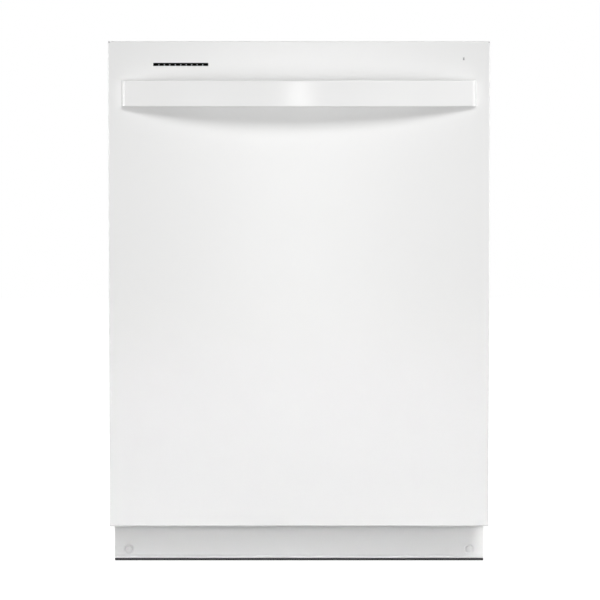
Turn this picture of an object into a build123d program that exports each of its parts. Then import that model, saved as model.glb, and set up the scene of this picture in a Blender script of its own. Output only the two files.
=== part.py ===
from build123d import *
import os
from math import asin, degrees

# Built-in dishwasher of the 24 inch class: a white door with a bowed bar handle and its controls on the
# top edge, a steel tub with two pull-out racks, and a low base with the pumps behind a toe panel.
# Millimetres. X runs right, Y runs back, Z runs up. The origin lies on the floor under the middle.

# Overall sizes
DOOR_WIDTH = 606
DOOR_HEIGHT = 774.5
DOOR_LIFT = 70  # floor to the lower edge of the door
BODY_DEPTH = 622  # face of the door to the rear of the base
HANDLE_REACH = 60  # face of the door to the front of the handle

# Sheets, walls and fits
SKIN = 1.0  # painted sheet of the door and the toe panels
TUB_SHEET = 1.2
LINER_SHEET = 1.0
PLATE = 3.0  # steel of hinges and brackets
BASE_WALL = 3.5
MOULDING = 2.5  # wall of plastic mouldings
PLAY = 0.3  # gap between pieces that slip past each other
RUN_FIT = 0.08  # radial gap of a pin in its bore

# Door
DOOR_DEPTH = 62  # face of the door to the rear of the liner
DOOR_EDGE = 2  # bend radius of the painted sheet
TOP_RETURN = 12
BOTTOM_RETURN = 20
CONSOLE_HEIGHT = 44
LINER_RISE = 16  # pan of the liner stands this far behind its flange
LINER_MARGIN = 16  # side of the door to the side of the pan
LINER_BEND = 9
FIELD_DEPTH = 6  # pressed field in the pan
FIELD_MARGIN = 55
INSULATION = 18
LATCH_HALF = 24
LATCH_OPENING = 11
LATCH_DEPTH = 22.5

# Dispenser
DISPENSER_RISE = 480  # lower edge of the door to the middle of the dispenser
DISPENSER_LIP = 8
LID_HALF_X = 36
LID_HALF_Z = 37
LID_SHEET = 2.4
LID_TRAVEL = 68
CUP_DEPTH = 24
RINSE_RADIUS = 19

# Handle
HANDLE_INSET = 21.5  # side of the door to the end of the handle
HANDLE_HEIGHT = 41
HANDLE_DROP = 82.5  # top of the door to the middle of the handle
HANDLE_THICK = 13
HANDLE_END = 9  # how far the ends stand off the door
HANDLE_PAD = 34  # length of each foot on the door
HANDLE_CORNER = 4
HANDLE_EDGE = 1.6
HANDLE_SCREW = 2.5  # radius of a thread
HANDLE_SCREW_PITCH = 22

# Vent louvre and status light
VENT_INSET = 115.4  # side of the door to the middle of the vent
VENT_DROP = 36.8
VENT_LENGTH = 87.3
VENT_HEIGHT = 5
VENT_SLOTS = 10
VENT_RIB = 1.1
LIGHT_INSET = 42
LIGHT_DROP = 27.8
LIGHT_WIDTH = 2.5
LIGHT_HEIGHT = 4.5

# Console buttons
BUTTON_LENGTH = 26
BUTTON_WIDTH = 9
BUTTON_PITCH = 46
BUTTON_FIRST = 74  # middle of the door to the nearest button
BUTTON_TRAVEL = 1.2
BOARD_DROP = 19
SWITCH = 4
BOARD_HALF = 12.5
BOARD_SHEET = 1.6
BOARD_GAP = 0.5  # board to the latch behind it

# Hinge
HINGE_SETBACK = 40  # face of the door to the pivot
HINGE_LIFT = 55  # lower edge of the door to the pivot
PIN_RADIUS = 5
HINGE_EAR = 13
TAIL_REACH = 8  # rear of the door to the spring's peg
ARM_LENGTH = 200
TAIL_HALF = 7
PEG = 3.2
SPRING_RADIUS = 5
SPRING_LENGTH = 140
BRACKET_SEAT = 40

# Tub
SEAL_SPACE = 8  # liner to the front of the tub
TUB_MARGIN = 23  # side of the door to the inside of the tub
TUB_HEADROOM = 29.5  # top of the door down to the ceiling of the tub
REAR_SPACE = 30  # inside of the tub's back to the rear of the base
TUB_CORNER = 32
LEDGE_STEP = 3  # wheel track above the face of the opened door
LEDGE_WIDTH = 15
LEDGE_HEIGHT = 14
BLANKET = 11
FRAME_DEPTH = 14
GASKET_WIDTH = 6
BRACKET_SPACING = 320
BRACKET_HOLE = 2.6
LIP_HEIGHT = 10

# Base and toe
TOE_SETBACK = 100
TOE_PANEL_HALF_GAP = 2.5  # door side to the side of the toe panel
PANEL_DEPTH = 12
BASE_FLOOR = 12
FOOT_RADIUS = 17
FOOT_STEM = 6
ROLLER_RADIUS = 20
TOE_SCREW_INSET = 26
TOE_SCREW = 2.2
DISH_DEPTH = 2.4
DISH_RADIUS = 8.4
DISH_FLOOR = 5.6
ACCESS_HEIGHT = 87
ACCESS_FOOT = 9.5
LIP_FOOT = 4.5
LIP_REACH = 2
WINDOW_INSET = 78  # side of the door to the window in the base
SHELF_INSET = 81
SHELF_FRONT = 18
SHELF_REAR = 101
FOOT_INSET = 41
FOOT_SETBACK = 32
FOOT_BORE = 84
ROLLER_INSET = 47
ROLLER_WIDTH = 18
AXLE = 4
VALVE_Z = 78
INLET_RADIUS = 13.2
INLET_LENGTH = 14
BOX_DEPTH = 56
CABLE_HOLE = 11.1

# Water works
SUMP_RADIUS = 106
SUMP_DEPTH = 70
POST_RADIUS = 15
SPIGOT_RADIUS = 9
FILTER_RADIUS = 35
ARM_GAP = 12  # tip of a spray arm to what it sweeps past
ARM_THICK = 10
STUB = 20
MOTOR = 36
SPIGOT_HEIGHT = 15
UPPER_SPIGOT = 8
MANIFOLD = 16
DOCK = 7
FEED_WIDTH = 32
FEED_DEPTH = 13
FEED_BEND = 4
HEATER_REACH = 172
HEATER_TUBE = 4
HEATER_FITTING = 5.5
HEATER_LIFT = 8
HEATER_GAP = 36
FLOAT_INSET = 75
FLOAT_RADIUS = 22
FLOAT_STEM = 5
FLOAT_HEIGHT = 22
DRAIN_RADIUS = 10
DRAIN_REACH = 64
DRAIN_STOP = 4  # collar that the hose is pushed up to

# Racks
WIRE = 2.0
RIM_WIRE = 2.6
RACK_FRONT_GAP = 33  # liner to the front of a rack
RACK_REAR_GAP = 27
LOWER_RACK_MARGIN = 30  # tub wall to the side of the rack
LOWER_RACK_LIFT = 40  # wheel track to the floor wires
LOWER_RACK_HEIGHT = 128
UPPER_RACK_MARGIN = 35
UPPER_RACK_DROP = 290  # tub ceiling down to the floor wires
UPPER_RACK_HEIGHT = 115
WHEEL_RADIUS = 18
RAIL_HEIGHT = 20
RAIL_GAP = 6  # end of a rack to the end of its rails
RAIL_WIDTH = 20
RAIL_SHEET = 1.5
RUNNER_SETBACK = 90
RACK_PITCH = 24  # rim to the first wire
LOWER_WIRE_COUNT = 11  # wires across each rack
UPPER_WIRE_COUNT = 9
RACK_RUN_COUNT = 9  # wires along each rack
RACK_BEND = 16
BASKET_LENGTH = 236
BASKET_DEPTH = 68
BASKET_HEIGHT = 122
GRIP_RISE = 40
TINE_LOWER = 78
TINE_UPPER = 46
WHEEL_SETBACK = 100

# Places worked out from the sizes above
HALF = DOOR_WIDTH / 2
DOOR_TOP = DOOR_LIFT + DOOR_HEIGHT
Y_REAR = (BODY_DEPTH + HANDLE_REACH) / 2
Y_FACE = Y_REAR - BODY_DEPTH
Y_LINER = Y_FACE + DOOR_DEPTH
Y_FLANGE = Y_LINER - LINER_RISE
Z_CONSOLE = DOOR_TOP - CONSOLE_HEIGHT
Y_HINGE = Y_FACE + HINGE_SETBACK
Z_HINGE = DOOR_LIFT + HINGE_LIFT
HINGE_TAIL = DOOR_DEPTH - HINGE_SETBACK + TAIL_REACH
LINER_HALF = HALF - LINER_MARGIN
LINER_BOTTOM = Z_HINGE - 5
HANDLE_Z = DOOR_TOP - HANDLE_DROP
HANDLE_LENGTH = DOOR_WIDTH - 2 * HANDLE_INSET
VENT_X = VENT_INSET - HALF
LIGHT_X = HALF - LIGHT_INSET
Y_TUB = Y_LINER + SEAL_SPACE
TUB_HALF = HALF - TUB_MARGIN
TUB_TOP = DOOR_TOP - TUB_HEADROOM
Y_BACK = Y_REAR - REAR_SPACE
LEDGE_Z = Z_HINGE + DOOR_DEPTH - HINGE_SETBACK + LEDGE_STEP
WELL_HALF = TUB_HALF - LEDGE_WIDTH
TUB_FLOOR = LEDGE_Z - LEDGE_HEIGHT
WALL_FOOT = LEDGE_Z + 20
BASE_TOP = TUB_FLOOR - TUB_SHEET
Y_TOE = Y_FACE + TOE_SETBACK
Y_BASE = Y_TOE + PANEL_DEPTH
BASE_HALF = HALF - TOE_PANEL_HALF_GAP - 0.5
BASE_INNER = BASE_HALF - BASE_WALL
ARM_INNER = LINER_HALF + 1.2
ARM_OUTER = ARM_INNER + PLATE
BRACKET_INNER = BASE_INNER - PLATE
Y_SPRAY = (Y_TUB + Y_BACK) / 2
Y_RACK_FRONT = Y_LINER + RACK_FRONT_GAP
Y_RACK_REAR = Y_BACK - RACK_REAR_GAP
LOWER_HALF = TUB_HALF - LOWER_RACK_MARGIN
LOWER_FLOOR = LEDGE_Z + LOWER_RACK_LIFT
UPPER_HALF = TUB_HALF - UPPER_RACK_MARGIN
UPPER_FLOOR = TUB_TOP - UPPER_RACK_DROP
RAIL_Z = UPPER_FLOOR + 75
CONSOLE_TOP = DOOR_TOP - SKIN
BOARD_TOP = CONSOLE_TOP - BOARD_DROP
Y_LATCH = Y_LINER - MOULDING - LATCH_DEPTH
Y_BUTTON = Y_LATCH - BOARD_GAP - BOARD_HALF
LATCH_LOW = TUB_TOP + 9
LATCH_HIGH = LATCH_LOW + LATCH_OPENING
DISPENSER_Z = DOOR_LIFT + DISPENSER_RISE
LID_X = -2 * LID_HALF_X
RINSE_X = 2 * LID_HALF_X + 6
SPRING_X = ARM_INNER - 2.4
SPRING_BAY = SPRING_X - SPRING_RADIUS - 6
FRAME_HALF = HALF - 5
FRAME_TOP = TUB_TOP + 20
FRAME_FOOT = WALL_FOOT - 4
ROLLER_Y = Y_REAR - 36
ACCESS_TOP = ACCESS_FOOT + ACCESS_HEIGHT
TOE_SCREW_X = HALF - TOE_SCREW_INSET
TOE_SCREW_Z = ACCESS_FOOT + DISH_RADIUS + SKIN + PLAY / 3
WINDOW_HALF = HALF - WINDOW_INSET
SHELF_HALF = HALF - SHELF_INSET
FOOT_X = HALF - FOOT_INSET
ROLLER_X = HALF - ROLLER_INSET
FLOAT_X = FLOAT_INSET - TUB_HALF
FLOAT_Y = Y_BASE + BASE_WALL + FLOAT_STEM + 1.5
SWEEP = Y_BACK - FEED_DEPTH - Y_SPRAY
LOWER_ARM_REACH = min(LOWER_HALF, SWEEP) - ARM_GAP
UPPER_ARM_REACH = min(UPPER_HALF, SWEEP) - ARM_GAP


def block(x, y, z):
    """Box between the low and high limits along each axis."""
    spans = (x, y, z)
    size = [high - low for low, high in spans]
    middle = [(high + low) / 2 for low, high in spans]
    return Pos(*middle) * Box(*size)


def plane_at(start, end):
    """Plane at a point, facing a second point, and the distance between the two."""
    run = Vector(*end) - Vector(*start)
    return Plane(origin=start, z_dir=run), run.length


def rod(start, end, radius):
    """Round bar from one point to another."""
    plane, length = plane_at(start, end)
    return extrude(plane * Circle(radius), length)


def wire(start, end, radius=WIRE):
    """Straight rack wire, drawn with eight flats to keep a whole rack light."""
    plane, length = plane_at(start, end)
    return extrude(plane * RegularPolygon(radius, 8), length)


def both(part):
    """A part and its mirror image on the other side."""
    return [part, mirror(part, Plane.YZ)]


def spread(low, high, count):
    """Evenly spaced places from low to high, both ends included."""
    return [low + (high - low) * i / (count - 1) for i in range(count)]


def rounded(part, axis, radius):
    """The part with all its edges along one axis rounded."""
    return fillet(part.edges().filter_by(axis), radius)


# Door


def door_outer_panel():
    """Painted front with folded sides, a narrow top return and a lower return."""
    y_return = Y_FLANGE - LINER_SHEET
    panel = block((-HALF, HALF), (Y_FACE, y_return), (DOOR_LIFT, DOOR_TOP))
    panel = fillet(panel.faces().sort_by(Axis.Y)[0].edges(), DOOR_EDGE)
    inner = HALF - SKIN
    panel -= block((-inner, inner), (Y_FACE + SKIN, Y_REAR), (DOOR_LIFT + SKIN, DOOR_TOP - SKIN))
    panel -= block((-inner, inner), (Y_FACE + TOP_RETURN, Y_REAR), (DOOR_TOP - 2 * SKIN, DOOR_TOP + SKIN))
    panel -= block((-inner, inner), (Y_FACE + BOTTOM_RETURN, Y_REAR), (0, DOOR_LIFT + 2 * SKIN))
    panel -= slot_through(VENT_X, DOOR_TOP - VENT_DROP, VENT_LENGTH, VENT_HEIGHT)
    panel -= slot_through(LIGHT_X, DOOR_TOP - LIGHT_DROP, LIGHT_WIDTH, LIGHT_HEIGHT)
    for side in (-1, 1):
        corner = sorted((side * (HALF - DOOR_EDGE - PLAY), side * (HALF + 1)))
        relief = (DOOR_TOP - DOOR_EDGE - PLAY, DOOR_TOP + 1)
        panel -= block(corner, (Y_FACE - 1, Y_FACE + 3 * DOOR_EDGE), relief)
    for x, z in handle_screw_places():
        panel -= rod((x, Y_FACE - SKIN, z), (x, Y_FACE + 2 * SKIN, z), HANDLE_SCREW + PLAY)
    return panel


def slot_through(x, z, length, height):
    """Cutter for a straight slot in the door's face."""
    return block(
        (x - length / 2, x + length / 2),
        (Y_FACE - SKIN, Y_FACE + 2 * SKIN),
        (z - height / 2, z + height / 2),
    )


def handle_screw_places():
    """Two screws in the foot at each end of the handle."""
    x = (HANDLE_LENGTH - HANDLE_PAD) / 2
    lift = HANDLE_SCREW_PITCH / 2
    return [(side * x, HANDLE_Z + up * lift) for side in (-1, 1) for up in (-1, 1)]


def handle():
    """Bowed bar whose two ends stand on the door."""
    half = HANDLE_LENGTH / 2
    foot = half - HANDLE_PAD
    y_end = Y_FACE - HANDLE_END
    y_front = Y_FACE - HANDLE_REACH
    front = ThreePointArc((-half, y_end), (0, y_front), (half, y_end))
    right = Polyline((half, y_end), (half, Y_FACE), (foot, Y_FACE))
    inside = ThreePointArc((foot, Y_FACE), (0, y_front + HANDLE_THICK), (-foot, Y_FACE))
    left = Polyline((-foot, Y_FACE), (-half, Y_FACE), (-half, y_end))
    outline = make_face(Curve() + [front, right, inside, left])
    bar = Pos(0, 0, HANDLE_Z - HANDLE_HEIGHT / 2) * extrude(outline, HANDLE_HEIGHT)
    corners = bar.edges().filter_by(Axis.Z).filter_by(lambda e: e.center().Y < Y_FACE - HANDLE_END / 2)
    bar = fillet(corners, HANDLE_CORNER)
    front_face = bar.faces().sort_by(Axis.Y)[0]
    bar = fillet(front_face.edges().filter_by(GeomType.CIRCLE), HANDLE_EDGE)
    for x, z in handle_screw_places():
        bar -= rod((x, Y_FACE + SKIN, z), (x, Y_FACE - HANDLE_END / 2, z), HANDLE_SCREW + RUN_FIT)
    return bar


def handle_screws():
    """Four screws that hold the handle from inside the door."""
    screws = []
    for x, z in handle_screw_places():
        y_head = Y_FACE + SKIN
        shank = rod((x, Y_FACE - HANDLE_END / 2 + 1, z), (x, y_head, z), HANDLE_SCREW)
        screws.append(shank + rod((x, y_head, z), (x, y_head + 3, z), 2 * HANDLE_SCREW))
    return screws


def vent_louvre():
    """Black insert with ten slots behind the vent opening."""
    z = DOOR_TOP - VENT_DROP
    nose = VENT_LENGTH / 2 - PLAY
    y_back = Y_FACE + SKIN + 2
    lip = 4
    rise = VENT_HEIGHT / 2
    insert = block(
        (VENT_X - nose, VENT_X + nose),
        (Y_FACE + SKIN / 3, y_back),
        (z - rise + PLAY, z + rise - PLAY),
    )
    insert += block(
        (VENT_X - nose - lip, VENT_X + nose + lip),
        (Y_FACE + SKIN, y_back),
        (z - rise - lip, z + rise + lip),
    )
    pitch = 2 * nose / VENT_SLOTS
    for i in range(VENT_SLOTS):
        x = VENT_X - nose + (i + 0.5) * pitch
        reach = (pitch - VENT_RIB) / 2
        insert -= block((x - reach, x + reach), (Y_FACE, y_back + 1), (z - rise + 1, z + rise - 1))
    return insert


def vent_duct():
    """Moulded chamber from the round inlet in the liner to the louvre."""
    z = DOOR_TOP - VENT_DROP
    y_front = Y_FACE + SKIN + 2
    y_rear = Y_FLANGE - 4
    half = VENT_LENGTH / 2 + 6
    drop = 66
    chamber = block((VENT_X - half, VENT_X + half), (y_front, y_rear), (z - drop, z + 8))
    chamber = rounded(chamber, Axis.Y, 6)
    hollow = block(
        (VENT_X - half + MOULDING, VENT_X + half - MOULDING),
        (y_front - 1, y_rear - MOULDING),
        (z - drop + MOULDING, z + 8 - MOULDING),
    )
    duct = chamber - hollow
    z_inlet = vent_inlet_z()
    duct += rod((VENT_X, y_rear, z_inlet), (VENT_X, Y_LINER, z_inlet), vent_inlet_radius() - PLAY)
    duct += rod((VENT_X, Y_LINER, z_inlet), (VENT_X, Y_LINER + 3, z_inlet), vent_inlet_radius() + 5)
    for i in range(-2, 3):
        reach = (1 - (i / 3.2) ** 2) ** 0.5 * vent_inlet_radius() - 3
        duct -= block(
            (VENT_X - reach, VENT_X + reach),
            (y_rear - 2 * MOULDING, Y_LINER + 4),
            (z_inlet + i * 9 - 2.5, z_inlet + i * 9 + 2.5),
        )
    return duct


def vent_inlet_z():
    """Height of the vent's round inlet in the liner."""
    return Z_CONSOLE - vent_inlet_radius() - 12


def vent_inlet_radius():
    """Radius of the vent's opening in the liner."""
    return 27


def status_light():
    """Clear light pipe from the board to the small window in the door's face."""
    z = DOOR_TOP - LIGHT_DROP
    y_inside = Y_FACE + SKIN

    def pipe(margin, y_low, y_high, top=z + LIGHT_HEIGHT / 2):
        wide = LIGHT_WIDTH / 2 + margin
        low = z - LIGHT_HEIGHT / 2 - margin
        return block((LIGHT_X - wide, LIGHT_X + wide), (y_low, y_high), (low, top + margin))

    nose = pipe(-PLAY, Y_FACE, y_inside + 2)
    flange = pipe(2, y_inside, y_inside + 2)
    bar = pipe(0, y_inside, y_inside + 14)
    riser = pipe(0, y_inside + 10, y_inside + 14, BOARD_TOP - BOARD_SHEET)
    return nose + flange + bar + riser


def liner_pan(inset):
    """Solid of the liner's pan, smaller by inset on every side but the front."""
    half = LINER_HALF - inset
    y_rear = Y_LINER - inset
    y_front = Y_FLANGE - LINER_SHEET - inset
    pan = block((-half, half), (y_front, y_rear), (LINER_BOTTOM + inset, Z_CONSOLE - PLAY - inset))
    pan = fillet(pan.faces().sort_by(Axis.Y)[-1].edges(), LINER_BEND - inset)
    wide = LINER_HALF - FIELD_MARGIN + inset
    low = LINER_BOTTOM + FIELD_MARGIN - inset
    high = Z_CONSOLE - 2 * FIELD_MARGIN + inset
    field = block((-wide, wide), (y_rear - FIELD_DEPTH, Y_REAR), (low, high))
    return pan - rounded(field, Axis.Y, FIELD_MARGIN / 3)


def door_liner():
    """Steel inner door: a pressed pan with a flange, cut away at the hinges."""
    side = HALF - SKIN / 2
    notch = Z_HINGE + HINGE_TAIL + 2 * HINGE_EAR
    liner = block((-side, side), (Y_FLANGE - LINER_SHEET, Y_FLANGE), (notch, Z_CONSOLE - PLAY))
    liner += liner_pan(0)
    liner -= liner_pan(LINER_SHEET)
    half_x = dispenser_half_x() - DISPENSER_LIP
    half_z = dispenser_half_z() - DISPENSER_LIP
    liner -= block((-half_x, half_x), (Y_FLANGE, Y_LINER), (DISPENSER_Z - half_z, DISPENSER_Z + half_z))
    z_inlet = vent_inlet_z()
    liner -= rod((VENT_X, Y_FLANGE, z_inlet), (VENT_X, Y_LINER + 1, z_inlet), vent_inlet_radius())
    return liner


def door_insulation():
    """Felt pad behind the painted panel."""
    y_front = Y_FACE + SKIN + PLAY
    half = LINER_HALF - 10
    height = (LINER_BOTTOM + 20, HANDLE_Z - HANDLE_HEIGHT)
    return block((-half, half), (y_front, y_front + INSULATION), height)


def console():
    """Top edge of the door: a moulded cap with button holes and a latch opening at the rear."""
    half = HALF - SKIN - PLAY
    cap = block((-half, half), (Y_FACE + SKIN, Y_LINER), (Z_CONSOLE, CONSOLE_TOP))
    cap = fillet(cap.edges().filter_by(Axis.X).sort_by(lambda e: e.center().Y + e.center().Z)[-1], 5)
    inner = half - MOULDING
    cap -= block((-inner, inner), (Y_FACE, Y_LINER - MOULDING), (Z_CONSOLE - 1, CONSOLE_TOP - MOULDING))
    cap -= block((-LATCH_HALF, LATCH_HALF), (Y_LINER - 2 * MOULDING, Y_LINER + 1), (LATCH_LOW, LATCH_HIGH))
    for x in button_places():
        hole = SlotOverall(BUTTON_LENGTH + 2 * PLAY, BUTTON_WIDTH + 2 * PLAY)
        cap -= Pos(x, Y_BUTTON, CONSOLE_TOP - 2 * MOULDING) * extrude(hole, 3 * MOULDING)
    y_post = Y_BUTTON - BOARD_HALF + 4
    for left, right in zip(button_places()[:-1], button_places()[1:]):
        x = (left + right) / 2
        cap += rod((x, y_post, BOARD_TOP), (x, y_post, CONSOLE_TOP - MOULDING), 3)
    return cap


def button_places():
    """Middles of the six buttons, three on each side of the latch."""
    reach = [BUTTON_FIRST + i * BUTTON_PITCH for i in range(3)]
    return [-x for x in reversed(reach)] + reach


def button(x):
    """Pill-shaped key with a hidden collar and a stem over its switch."""
    cap_low = CONSOLE_TOP - MOULDING - 1.2
    cap = Pos(x, Y_BUTTON, cap_low) * extrude(SlotOverall(BUTTON_LENGTH, BUTTON_WIDTH), MOULDING + 1.8)
    cap = fillet(cap.faces().sort_by(Axis.Z)[-1].edges(), 0.5)
    collar = Pos(x, Y_BUTTON, cap_low) * extrude(SlotOverall(BUTTON_LENGTH + 4, BUTTON_WIDTH + 4), 1.2)
    stem = rod((x, Y_BUTTON, BOARD_TOP + SWITCH + BUTTON_TRAVEL + PLAY), (x, Y_BUTTON, cap_low), 2.5)
    return cap + collar + stem


def control_board():
    """Circuit board under the buttons, with one switch for each."""
    half = HALF - SKIN - PLAY - MOULDING - 6
    y_low = Y_BUTTON - BOARD_HALF
    y_high = Y_BUTTON + BOARD_HALF
    board = block((-half, half), (y_low, y_high), (BOARD_TOP - BOARD_SHEET, BOARD_TOP))
    for x in button_places():
        board += block((x - 3, x + 3), (Y_BUTTON - 3, Y_BUTTON + 3), (BOARD_TOP, BOARD_TOP + SWITCH))
    for x in (-0.28 * half, 0.08 * half, 0.72 * half):
        board += block((x - 14, x + 14), (y_low + 3, y_high - 4), (BOARD_TOP - 11, BOARD_TOP - BOARD_SHEET))
    return board


def door_latch():
    """Latch housing behind the top edge, open at the rear for the strike."""
    y_rear = Y_LINER - MOULDING
    housing = block((-38, 38), (Y_LATCH, y_rear), (Z_CONSOLE + 2, CONSOLE_TOP - MOULDING))
    housing = rounded(housing, Axis.Z, 3)
    throat = LATCH_HALF - 1
    slot_y = (Y_LATCH + MOULDING, y_rear + 1)
    return housing - block((-throat, throat), slot_y, (LATCH_LOW + 1, LATCH_HIGH - 1))


def door_strike():
    """Steel tongue on the tub that the latch catches."""
    z = (LATCH_LOW + LATCH_HIGH) / 2
    half = LATCH_HALF - 5
    plate = block((-half - 12, half + 12), (Y_TUB - PLATE / 2, Y_TUB), (z - 5, z + 7))
    tongue = block((-half, half), (Y_LINER - MOULDING - 15, Y_TUB), (z - PLATE / 2, z + PLATE / 2))
    eye = block((-half + 5, half - 5), (Y_LINER - MOULDING - 11, Y_LINER - 4), (z - PLATE, z + PLATE))
    return plate + rounded(tongue, Axis.Z, 1) - eye


def dispenser_half_x():
    """Half the width of the dispenser's face."""
    return 2 * LID_HALF_X + RINSE_RADIUS + 20


def dispenser_half_z():
    """Half the height of the dispenser's face."""
    return LID_HALF_Z + 12


def dispenser():
    """Moulded detergent unit: an open cup under a sliding lid, and the rinse aid well."""
    y_face = Y_LINER - FIELD_DEPTH
    y_front = y_face + 4
    half_x = dispenser_half_x()
    half_z = dispenser_half_z()
    plate = block((-half_x, half_x), (y_face, y_front), (DISPENSER_Z - half_z, DISPENSER_Z + half_z))
    plate = rounded(plate, Axis.Y, 10)
    body_x = half_x - DISPENSER_LIP - PLAY
    body_z = half_z - DISPENSER_LIP - PLAY
    y_body = y_face - CUP_DEPTH - 6
    unit = plate + block((-body_x, body_x), (y_body, y_face), (DISPENSER_Z - body_z, DISPENSER_Z + body_z))
    cup_x = LID_HALF_X - 5
    cup_z = LID_HALF_Z - 5
    cup = block(
        (LID_X - cup_x, LID_X + cup_x),
        (y_face - CUP_DEPTH, y_front + 1),
        (DISPENSER_Z - cup_z, DISPENSER_Z + cup_z),
    )
    unit -= rounded(cup, Axis.Y, 8)
    rail_low = LID_X - LID_HALF_X
    rail_high = LID_X + LID_HALF_X + LID_TRAVEL
    for side in (-1, 1):
        z_edge = DISPENSER_Z + side * (LID_HALF_Z + PLAY)
        z_out = z_edge + side * 3
        z_lip = z_edge - side * 2
        y_lip = y_front + LID_SHEET + 2 * PLAY
        unit += block((rail_low, rail_high), (y_front, y_lip), sorted((z_edge, z_out)))
        unit += block((rail_low, rail_high), (y_lip, y_lip + 1.2), sorted((z_lip, z_out)))
    well = RINSE_RADIUS + PLAY
    return unit - rod((RINSE_X, y_face - 8, DISPENSER_Z), (RINSE_X, y_front + 1, DISPENSER_Z), well)


def dispenser_lid():
    """Sliding cover of the detergent cup, with a thumb ridge."""
    y_low = Y_LINER - FIELD_DEPTH + 4 + PLAY
    y_top = y_low + LID_SHEET
    left, right = LID_X - LID_HALF_X, LID_X + LID_HALF_X
    lid = block((left, right), (y_low, y_top), (DISPENSER_Z - LID_HALF_Z, DISPENSER_Z + LID_HALF_Z))
    ridge = block((left + 6, left + 10), (y_top, y_top + 2), (DISPENSER_Z - 16, DISPENSER_Z + 16))
    return lid + rounded(ridge, Axis.Y, 1.5)


def rinse_aid_cap():
    """Quarter-turn cap with a grip bar."""
    y_seat = Y_LINER - FIELD_DEPTH - 8 + PLAY
    y_top = Y_LINER - FIELD_DEPTH + 5
    cap = rod((RINSE_X, y_seat, DISPENSER_Z), (RINSE_X, y_top, DISPENSER_Z), RINSE_RADIUS)
    cap = fillet(cap.edges().sort_by(Axis.Y)[-1], 1)
    grip_x = (RINSE_X - RINSE_RADIUS + 3, RINSE_X + RINSE_RADIUS - 3)
    grip = block(grip_x, (y_top, y_top + 4), (DISPENSER_Z - 2.5, DISPENSER_Z + 2.5))
    return cap + rounded(grip, Axis.Y, 2)


def hinge_arms():
    """Steel arm inside each side of the door, with a tail for the balance spring."""
    y_front = Y_HINGE - HINGE_EAR
    y_flange = Y_FLANGE - LINER_SHEET
    top = Z_HINGE + ARM_LENGTH
    web = (ARM_INNER, ARM_OUTER)
    arm = block(web, (y_front, y_flange), (Z_HINGE, top))
    arm += rod((ARM_INNER, Y_HINGE, Z_HINGE), (ARM_OUTER, Y_HINGE, Z_HINGE), HINGE_EAR)
    arm += block(web, (Y_HINGE, Y_HINGE + HINGE_TAIL), (Z_HINGE - TAIL_HALF, Z_HINGE + TAIL_HALF))
    arm += rod(
        (ARM_INNER, Y_HINGE + HINGE_TAIL, Z_HINGE), (ARM_OUTER, Y_HINGE + HINGE_TAIL, Z_HINGE), TAIL_HALF
    )
    notch = Z_HINGE + HINGE_TAIL + 2 * HINGE_EAR
    arm += block((ARM_INNER, HALF - SKIN - PLAY), (y_flange - PLATE, y_flange), (notch, top))
    arm -= rod((ARM_INNER - 1, Y_HINGE, Z_HINGE), (ARM_OUTER + 1, Y_HINGE, Z_HINGE), PIN_RADIUS + RUN_FIT)
    peg_end = SPRING_X - 2
    arm += rod((peg_end, Y_HINGE + HINGE_TAIL, Z_HINGE), (ARM_INNER, Y_HINGE + HINGE_TAIL, Z_HINGE), PEG)
    return both(arm)


def hinge_brackets():
    """Plate on each side of the base with the pin that the door turns on."""
    bracket = rod((BRACKET_INNER, Y_HINGE, Z_HINGE), (BASE_INNER, Y_HINGE, Z_HINGE), HINGE_EAR)
    y_rear = Y_BASE + BRACKET_SEAT
    low = Z_HINGE - HINGE_EAR
    arm = block((BRACKET_INNER, BASE_INNER), (Y_HINGE, y_rear), (low, BASE_TOP))
    foot = block((BRACKET_INNER, BASE_INNER), (Y_BASE, y_rear), (low - 40, low))
    pin = rod((LINER_HALF + PLAY, Y_HINGE, Z_HINGE), (BASE_INNER, Y_HINGE, Z_HINGE), PIN_RADIUS)
    return both(bracket + arm + foot + pin)


def spring_anchor():
    """Place of the peg on the base that holds the rear end of a spring."""
    return Y_HINGE + HINGE_TAIL + SPRING_LENGTH, Z_HINGE - SPRING_LENGTH / 3


def door_springs():
    """Balance spring on each side, from the hinge tail to a peg on the base."""
    y_tail = Y_HINGE + HINGE_TAIL
    y_peg, z_peg = spring_anchor()
    path = Vector(0, y_peg - y_tail, z_peg - Z_HINGE)

    def along(share):
        return (SPRING_X, y_tail + share * path.Y, Z_HINGE + share * path.Z)

    spring = rod(along(0.03), along(0.97), 1.2) + rod(along(0.16), along(0.84), SPRING_RADIUS)
    for share in (0, 1):
        x, y, z = along(share)
        spring += rod((x - 1.5, y, z), (x + 1.5, y, z), PEG + 2.6)
    for share in (0, 1):
        x, y, z = along(share)
        spring -= rod((x - 6, y, z), (x + 6, y, z), PEG + PLAY)
    return both(spring)


# Tub


def u_shape(half, top, corner, bottom):
    """Flat outline of the tub's sides and ceiling, rounded at the two upper corners."""
    sheet = Rectangle(2 * half, top - bottom, align=(Align.CENTER, Align.MIN))
    return Pos(0, bottom) * fillet(sheet.vertices().group_by(Axis.Y)[-1], corner)


def along_y(outline, y_low, y_high):
    """The outline, drawn in X and Z, run from one depth to another."""
    plane = Plane(origin=(0, y_high, 0), x_dir=(1, 0, 0), z_dir=(0, -1, 0))
    return extrude(plane * outline, y_high - y_low)


def tub_wrapper():
    """Sides and ceiling of the tub, folded from one sheet."""
    outer = u_shape(TUB_HALF + TUB_SHEET, TUB_TOP + TUB_SHEET, TUB_CORNER + TUB_SHEET, WALL_FOOT)
    inner = u_shape(TUB_HALF, TUB_TOP, TUB_CORNER, WALL_FOOT - TUB_SHEET)
    return along_y(outer - inner, Y_TUB + TUB_SHEET, Y_BACK)


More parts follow.
